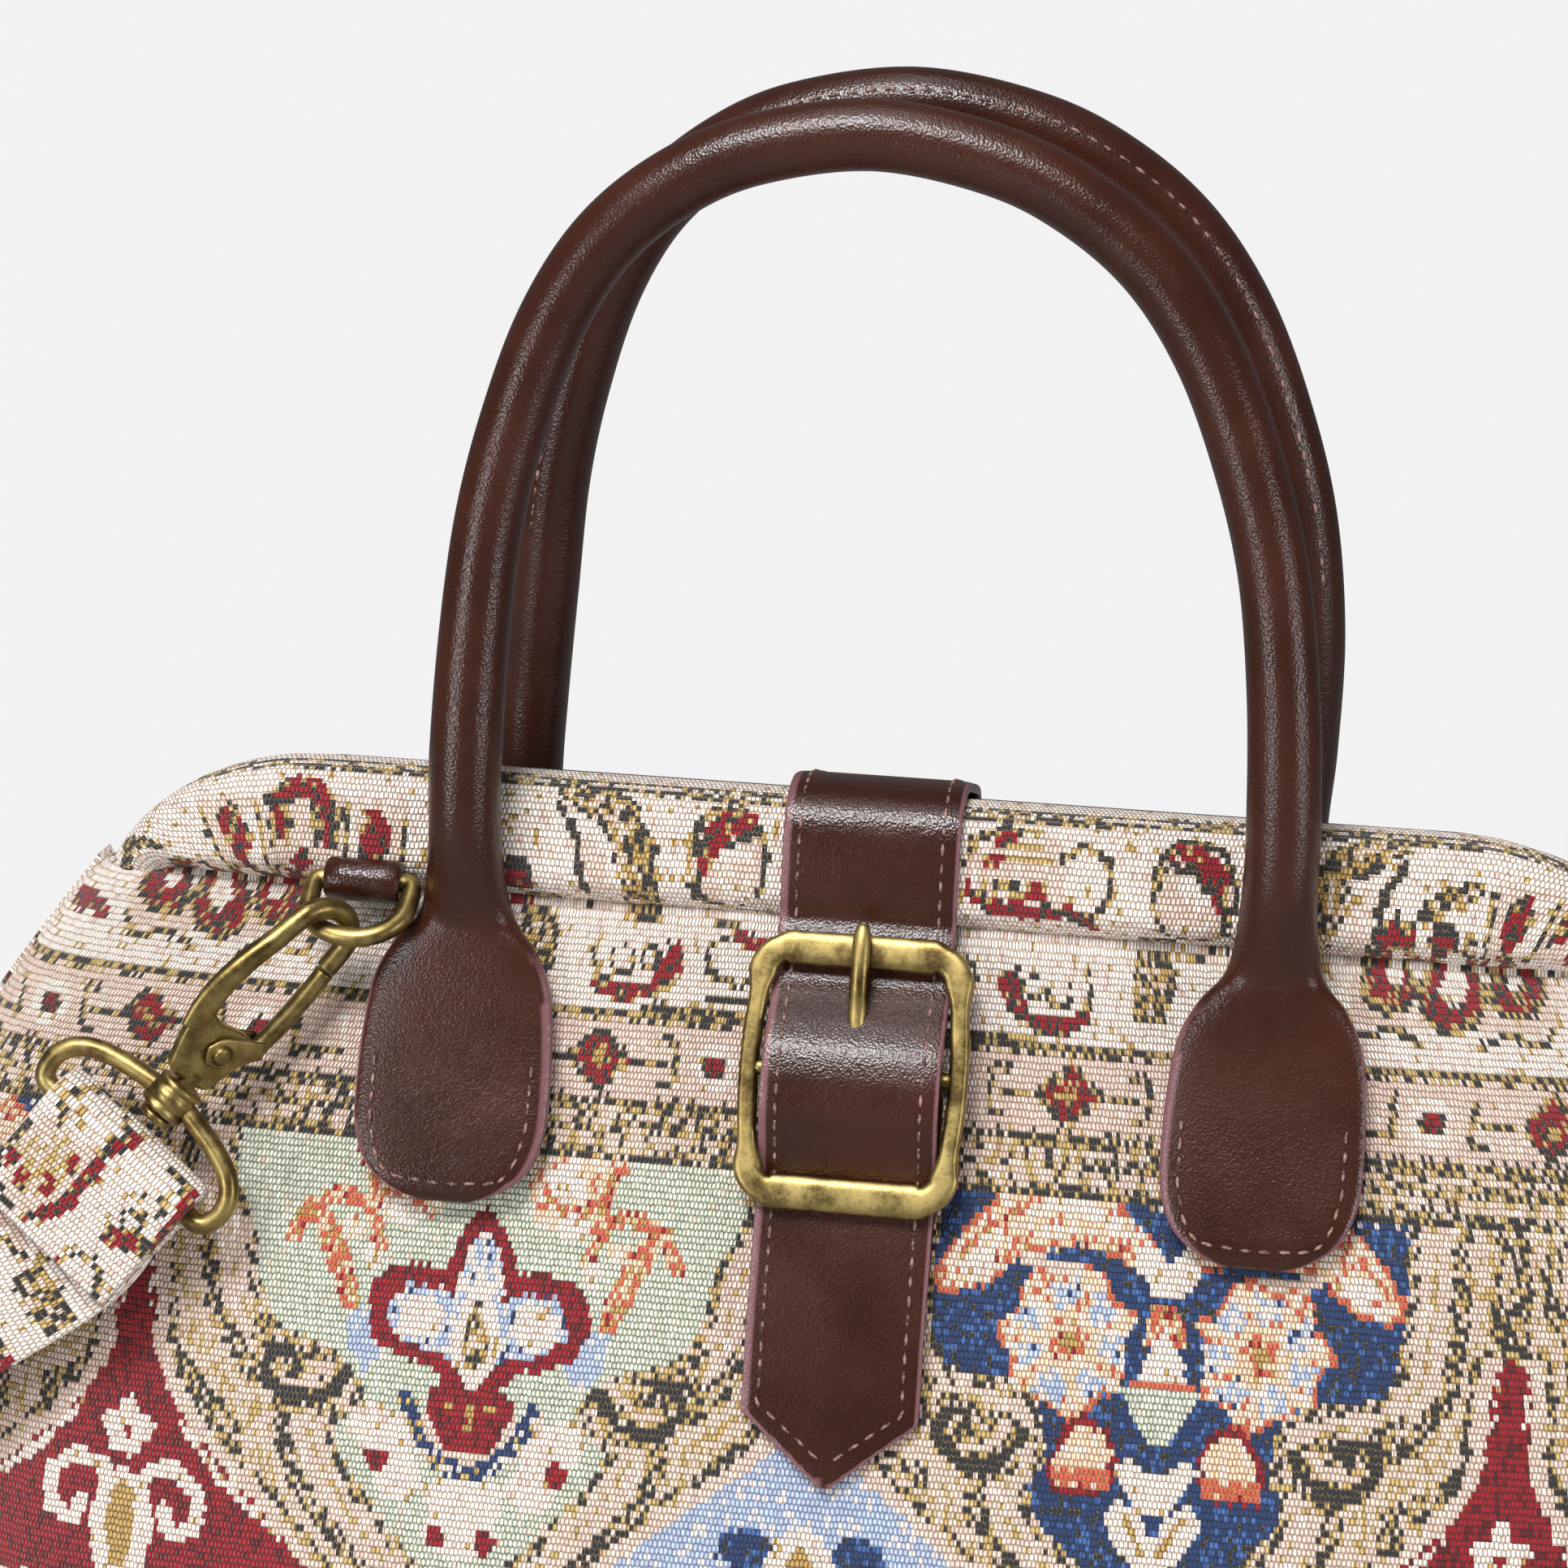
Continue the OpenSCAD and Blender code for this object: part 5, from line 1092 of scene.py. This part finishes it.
# Over the ridge the strap is highest at the front and falls away to the lower back casing
ridge_shares = [(1.00, 0.15), (1.00, 0.40), (0.97, 0.58), (0.86, 0.72), (0.60, 0.81), (0.25, 0.89),
                (-0.10, 0.97), (-0.42, 1.01), (-0.68, 0.98), (-0.86, 0.89), (-0.96, 0.73),
                (-1.00, 0.52), (-1.02, 0.28), (-1.01, 0.12)]
ridge_run = [((casing_front + on_panel) * w, seam_z + (ridge_z - seam_z + on_panel) * h)
             for w, h in ridge_shares]
# Share of the buckle's height from its top, with the share of the rise over the bar
buckle_run = [(0.02, 0.00), (0.09, 0.00), (0.165, 0.05), (0.25, 0.32), (0.335, 0.65), (0.42, 0.91),
              (0.50, 1.00), (0.57, 1.00), (0.65, 0.89), (0.73, 0.58), (0.81, 0.24), (0.88, 0.04),
              (0.95, 0.00), (1.06, 0.00)]
through = [on_plane(buckle_mid - buckle_height / 2 + buckle_height * u,
                    under_bar + (over_bar - under_bar) * h) for u, h in buckle_run]
tail = [(float(face_y(0, s * seam_z)) - on_panel - (under_bar - on_panel) * h, s * seam_z)
        for s, h in ((0.665, 1.00), (0.632, 0.55), (0.60, 0.10), (0.57, 0.0), (0.545, 0.0), (0.519, 0.0))]
bent = np.array(back_run + ridge_run + through + tail)
strap_line = flow(np.column_stack([0 * bent[:, 0], bent]), 330)
ahead = np.gradient(strap_line, axis=0)
strap_out = np.column_stack([0 * ahead[:, 0], ahead[:, 2], -ahead[:, 1]])
strap_out /= np.linalg.norm(strap_out, axis=1)[:, None]
left_run = np.concatenate([[0], np.cumsum(np.linalg.norm(np.diff(strap_line, axis=0), axis=1))])
to_tip = left_run[-1] - left_run
half = np.minimum(strap_width / 2, 1.2 + to_tip * (strap_width / 2 - 1.2) / strap_point)
shape = hoops(strap_line, strap_out, half, strap_thick / 2, 9.0, 48)
leather_piece("closure_strap_leather", shape, np.ones(len(strap_line)), "closure_strap")
inset = 3.7
inner = np.minimum(strap_width / 2 - inset,
                   np.maximum(to_tip - inset * 1.3, 0) * (strap_width / 2) / strap_point)
seen = to_tip > inset * 1.4
for tag, side in (("left", -1), ("right", 1)):
    sideways = np.column_stack([side * inner, 0 * inner, 0 * inner])
    row = strap_line + strap_out * (strap_thick / 2 + 0.05) + sideways
    sewn("stitching_strap_" + tag, row[seen], strap_out[seen])

# Buckle: a cast frame with bowed sides and domed bars, a centre bar and a bent prong, in antique brass.
# Its leather tab is sewn to the panel under the strap.
patina, given, made = shader_group(
    "aged_brass", [("Place", "NodeSocketVector", None)],
    [("Color", "NodeSocketColor"), ("Height", "NodeSocketFloat"), ("Roughness", "NodeSocketFloat")])
spot = given.outputs["Place"]
stain = noise(patina, spot, 130.0, 5.0, 0.6).outputs["Fac"]
specks = noise(patina, spot, 1300.0, 3.0, 0.7).outputs["Fac"]
metal = blend(patina, ramp(patina, stain, 0.32, 0.66), "6A5834", "A8945E")
metal = blend(patina, ramp(patina, specks, 0.58, 0.75, 0.0, 0.6), metal, "483C1E")
pitted = maths(patina, "ADD", stain, maths(patina, "MULTIPLY", specks, 0.7))
dull = ramp(patina, maths(patina, "ADD", stain, specks), 0.7, 1.3, 0.30, 0.50)
patina.links.new(metal, made.inputs["Color"])
patina.links.new(pitted, made.inputs["Height"])
patina.links.new(dull, made.inputs["Roughness"])

brass, tree, look = new_finish("antique_brass")
at = node(tree, "ShaderNodeTexCoord")
old = node(tree, "ShaderNodeGroup", {"Place": at.outputs["Object"]}, node_tree=patina)
dress(tree, look, old, 0.18, 0.0002)
look.inputs["Metallic"].default_value = 1.0


def joined(name, pieces, body, replaced, finish):
    # Makes one piece of several meshes that are cast or welded together
    bm = bmesh.new()
    for piece in pieces:
        bm.from_mesh(piece.data)
        scene.collection.objects.unlink(piece)
        bpy.data.objects.remove(piece)
    whole = object_from(name, bm)
    whole.data.materials.append(finish)
    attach(whole, body)
    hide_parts(replaced)
    return whole


def wire(name, line, facing, half_width, half_thick=None, count=120, square=2.0, sides=20):
    # Smooth bar through points, with a half width at each point
    half_width = np.broadcast_to(half_width, len(line))
    half_thick = half_width if half_thick is None else np.broadcast_to(half_thick, len(line))
    run = flow(np.column_stack([line, half_width, half_thick]), count)
    shape = hoops(run[:, :3], np.tile(facing, (count, 1)).astype(float), run[:, 3], run[:, 4], square, sides)
    uv = np.stack(np.meshgrid(np.linspace(0, 1, sides + 1), np.linspace(0, 1, count)), -1)
    piece, _ = laid(name, shape, uv)
    finish_roll(piece)
    return piece


def turned(name, profile, origin, way, steps=40):
    # Piece turned on a lathe: distances along the way with radii, spun round it
    way = Vector(way).normalized()
    side = way.orthogonal().normalized()
    bm = bmesh.new()
    verts = [bm.verts.new((Vector(origin) + way * a + side * r) * MM) for a, r in profile]
    edges = [bm.edges.new(pair) for pair in zip(verts, verts[1:])]
    bmesh.ops.spin(bm, geom=verts + edges, cent=Vector(origin) * MM, axis=way, angle=2 * math.pi,
                   steps=steps, use_merge=True)
    bmesh.ops.remove_doubles(bm, verts=bm.verts, dist=1e-6)
    bmesh.ops.recalc_face_normals(bm, faces=bm.faces)
    return object_from(name, bm)


frame_low = 5.1
slope_out = np.array([0.0, -math.cos(buckle_lean), math.sin(buckle_lean)])


def in_buckle(x, up_slope, out):
    # Place from the buckle's middle: across, up its slope and out of the panel
    y, z = on_plane(buckle_mid - up_slope, out)
    return (x, y, z)


# Middle line of the rim: one quarter with a straight end, a round corner and a bowed side, mirrored round
bow, half_x, half_y, bend_r = 1.3, 22.65, 26.25, 6.0
quarter = [(x, half_y) for x in (0, 6, 12)]
quarter += [(half_x - bow - bend_r + bend_r * math.sin(t), half_y - bend_r + bend_r * math.cos(t))
            for t in np.linspace(0.05, math.pi / 2 - 0.05, 6)]
quarter += [(half_x - bow + bow * (1 - (y / 20) ** 2), y) for y in (16, 8)]
loop = quarter + [(half_x, 0)] + [(x, -y) for x, y in quarter[::-1]]
loop += [(-x, -y) for x, y in quarter[1:]] + [(-half_x, 0)]
loop += [(-x, y) for x, y in quarter[::-1][:-1]] + [(0, half_y)]
bar_half = [3.75 if abs(x) < 17 and abs(y) > 20 else 2.1 if abs(y) < 19 else 3.1 for x, y in loop]
rim = np.array([in_buckle(x, y, frame_low + buckle_thick / 2) for x, y in loop])
frame_ring = wire("buckle_rim", rim, slope_out, bar_half, [2.1] * len(loop), 360, 3.4, 40)
bar_line = np.array([in_buckle(x, 0, bar_d) for x in (-22.4, -8, 8, 22.4)])
centre = wire("buckle_bar", bar_line, slope_out, 1.8, None, 20)
joined("buckle_cast", [frame_ring, centre], "bag", "buckle_frame", brass)
prong_shares = [(-0.02, 0.00), (0.12, 0.02), (0.22, 0.10), (0.31, 0.72), (0.41, 1.0), (0.49, 1.0),
                (0.53, 0.88)]
prong_line = np.array([in_buckle(0, buckle_height * u, 9.0 + 2.35 * h) for u, h in prong_shares])
prong_half = [1.9, 2.0, 2.05, 2.05, 2.0, 1.9, 1.3]
prong_thick = [1.75, 1.75, 1.75, 1.75, 1.7, 1.6, 1.1]
shaft = wire("prong_shaft", prong_line, slope_out, prong_half, prong_thick, 60)
loop_profile = [(-2.1, 2.2), (-2.1, 3.0), (-1.8, 3.3), (1.8, 3.3), (2.1, 3.0), (2.1, 2.2), (-2.1, 2.2)]
loop_end = turned("prong_loop", loop_profile, in_buckle(0, 0, bar_d), (1, 0, 0))
joined("buckle_pin", [shaft, loop_end], "bag", "buckle_prong", brass)

# Ring tabs: a short leather strip doubled round the bar of each ring, its tail caught in the seam
# of the casing.
tab_length, tab_radius = 16.7, 4.75
tab_profile = [(-8.35, 2.3), (-8.35, 4.2), (-7.8, 4.7), (-4, tab_radius), (4, tab_radius), (7.8, 4.7),
               (8.35, 4.2), (8.35, 2.3)]
tab_tail = ((0.5, -3.2), (3.0, -3.6), (5.2, -4.4), (6.6, -5.4))
for name, turn in (("front_ring_tab", np.eye(3)), ("rear_ring_tab", half_turn)):
    tube = turned(name + "_roll", tab_profile, turn @ ring_bar, turn @ (1, 0, 0))
    back_strip = np.array([ring_bar + (0, y, z) for y, z in tab_tail]) @ turn
    flat = wire(name + "_tail", back_strip, turn @ (0, -0.3, -1), tab_length / 2 - 0.3, 1.4, 16, 6.0)
    joined(name + "_leather", [tube, flat], "bag", name, leather)

# D-rings: brass wire bent to a straight bar and a round bow. The bar turns in its leather tab, and
# the bow carries the hook of the clasp.
ring_wire, ring_half, ring_depth, ring_tilt = 2.15, 10.9, 16.5, math.radians(33)
ring_out = np.array([0, -math.cos(ring_tilt), -math.sin(ring_tilt)])
bow_leg = ring_depth - ring_half * 0.85
bow_line = [(0, 0), (-6, 0), (-ring_half + 1.6, 0.1), (-ring_half, 1.8), (-ring_half, bow_leg)]
bow_line += [(-ring_half * math.cos(t), bow_leg + ring_half * 0.85 * math.sin(t))
             for t in np.linspace(0.25, math.pi - 0.25, 11)]
bow_line += [(-x, y) for x, y in bow_line[4::-1]]
ring_line = np.array([ring_bar + (x, 0, 0) + ring_out * y for x, y in bow_line])
ring_face = np.cross((1, 0, 0), ring_out)
for name, turn in (("front_ring", np.eye(3)), ("rear_ring", half_turn)):
    ring_piece = wire(name + "_wire", ring_line @ turn, turn @ ring_face, ring_wire, None, 160)
    joined(name + "_brass", [ring_piece], name + "_body", name, brass)

# Clasps: a cast brass bail with a grooved collar, a hook that swivels in it and a sprung gate on a
# rivet. The strap is folded round the bail, and the hook's eye holds the ring.
hook_side, hook_out = rolled_by(43)
bail_half, bail_wire, hook_wire, eye_radius, gate_wire = 25.0, 2.25, 2.4, 7.75, 2.2
bail_shares = [(0.00, 0.13), (0.04, 0.32), (0.12, 0.58), (0.24, 0.80), (0.42, 0.94), (0.64, 1.00),
               (0.86, 0.985), (0.97, 0.93), (1.00, 0.82), (1.00, 0.40)]
bail_right = [(-bar_reach * a, bail_half * b) for a, b in bail_shares]
bail_run = bail_right + [(a, -b) for a, b in bail_right[::-1]]
bail_line = np.array([collar + axis * a + bail_side * b for a, b in bail_run])
plate_shares = [(0.105, -0.62), (0.14, -0.90), (0.28, -1.20), (0.42, -1.42), (0.46, -1.10), (0.42, -0.45),
                (0.44, 0.25), (0.43, 0.85), (0.36, 0.98), (0.13, 0.62), (0.105, 0.50)]
arm_shares = ((0.34, -1.16), (0.46, -1.40), (0.60, -1.47), (0.76, -1.34), (0.89, -1.14))
arm = [(eye_reach * a, eye_radius * b) for a, b in arm_shares]
arm_width, arm_thick, even_wire = [3.6, 3.4, 3.0, 2.7, 2.5], [1.7, 2.0, 2.3, 2.4, 2.4], [hook_wire] * 11
bow_eye = [(eye_reach + eye_radius * math.sin(t), -eye_radius * math.cos(t))
           for t in np.linspace(0.25, math.pi, 10)]
hook_run = arm + bow_eye + [(eye_reach * 0.907, eye_radius * 1.04)]
hook_line = np.array([collar + axis * a + hook_side * b for a, b in hook_run])
gate_run = [(0.893, 1.07), (0.85, 1.11), (0.75, 1.16), (0.62, 1.19), (0.50, 1.17), (0.40, 1.10)]
gate_line = np.array([collar + axis * eye_reach * a + hook_side * eye_radius * b for a, b in gate_run])
collar_profile = [(-4, 2.5), (-4, 4.3), (-3.6, 5.2), (-2.7, 5.5), (-2.3, 4.9), (-1.7, 4.9), (-1.3, 5.5),
                  (1.3, 5.5), (1.7, 4.9), (2.3, 4.9), (2.7, 5.5), (3.6, 5.2), (4, 4.3), (4, 2.5), (-4, 2.5)]
stem_profile = [(-6.4, 0.0), (-6.4, 3.2), (-6.0, 3.8), (-4.6, 3.8), (-4.3, 2.35), (7.2, 2.35), (7.2, 0.0)]
rivet_profile = [(-3.9, 0), (-3.8, 1.5), (-3.2, 2.5), (-3.0, 1.4), (3.0, 1.4), (3.2, 2.5), (3.8, 1.5),
                 (3.9, 0)]
pivot, plate_thick, plate_half = 14.4, 3.0, 9.0
clasp_pieces = []
for end, turn in (("front", np.eye(3)), ("rear", half_turn)):
    out, side, way, foot = turn @ hook_out, turn @ hook_side, turn @ axis, turn @ collar

    def on_clasp(along, across, lift):
        return foot + way * along + side * across + out * lift

    loop_wire = wire(end + "_bail_wire", bail_line @ turn, turn @ bail_out, bail_wire, None, 160)
    ring_collar = turned(end + "_bail_collar", collar_profile, foot, way)
    bail = joined(end + "_bail_brass", [loop_wire, ring_collar], "bag", end + "_bail", brass)

    bm = bmesh.new()
    corners = [bm.verts.new(on_clasp(eye_reach * a, plate_half * b, -plate_thick / 2) * MM)
               for a, b in plate_shares]
    raised = bmesh.ops.extrude_face_region(bm, geom=[bm.faces.new(corners)])
    lifted = [v for v in raised["geom"] if isinstance(v, bmesh.types.BMVert)]
    bmesh.ops.translate(bm, vec=Vector(out) * plate_thick * MM, verts=lifted)
    bmesh.ops.recalc_face_normals(bm, faces=bm.faces)
    bmesh.ops.bevel(bm, geom=list(bm.edges), offset=0.9 * MM, affect="EDGES", segments=3, profile=0.5,
                    material=-1)
    plate = object_from(end + "_hook_plate", bm)
    bow_wire = wire(end + "_hook_bow", hook_line @ turn, out, arm_width + even_wire,
                    arm_thick + even_wire, 160)
    stem = turned(end + "_hook_stem", stem_profile, foot, way)
    hook = joined(end + "_hook_brass", [plate, bow_wire, stem], end + "_hook_body", end + "_hook", brass)

    lever = wire(end + "_gate_lever", gate_line @ turn, out, gate_wire, None, 60)
    ears = []
    for lift in (2.4, -2.4):
        line = np.array([on_clasp(pivot + k * 5.6, k * 8.6, lift) for k in (-0.35, 0, 0.5, 1)])
        ears.append(wire(end + "_gate_ear", line, out, [2.2, 3.9, 3.2, 2.2], 0.6, 30, 3.0))
    rivet = turned(end + "_gate_rivet", rivet_profile, on_clasp(pivot, 0, 0), out)
    gate = joined(end + "_gate_brass", [lever, rivet] + ears, end + "_gate_body", end + "_gate", brass)
    clasp_pieces += [bail, hook, gate]

# Inside and under the bag: dull steel frame rods with brass hinge rivets, brass feet, a grey board in
# the base, a cotton lining and the buckle's leather tab. The solids stay and are given a finish.
def plain_finish(name, low, high, rough, scale, metallic=0.0):
    stuff, tree, look = new_finish(name)
    at = node(tree, "ShaderNodeTexCoord")
    cloud = noise(tree, at.outputs["Object"], scale, 5.0).outputs["Fac"]
    relief = node(tree, "ShaderNodeBump", {"Height": cloud, "Strength": 0.2, "Distance": 0.0003})
    gloss = ramp(tree, cloud, 0.3, 0.7, rough - 0.08, rough + 0.08)
    tree.links.new(blend(tree, cloud, low, high), look.inputs["Base Color"])
    tree.links.new(gloss, look.inputs["Roughness"])
    tree.links.new(relief.outputs[0], look.inputs["Normal"])
    look.inputs["Metallic"].default_value = metallic
    return stuff


steel = plain_finish("frame_steel", "6E6E70", "9A9A9C", 0.4, 240.0, 1.0)
board_card = plain_finish("base_card", "5A544C", "7A7268", 0.85, 320.0)
cotton = plain_finish("lining_cotton", "A89880", "C4B49A", 0.9, 900.0)
for name, finish in (("front_frame", steel), ("back_frame", steel), ("hinge_rivets", brass),
                     ("base_feet", brass), ("base_board", board_card), ("lining", cotton),
                     ("buckle_tab", leather)):
    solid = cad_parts[name]
    solid.data.materials.clear()
    solid.data.materials.append(finish)
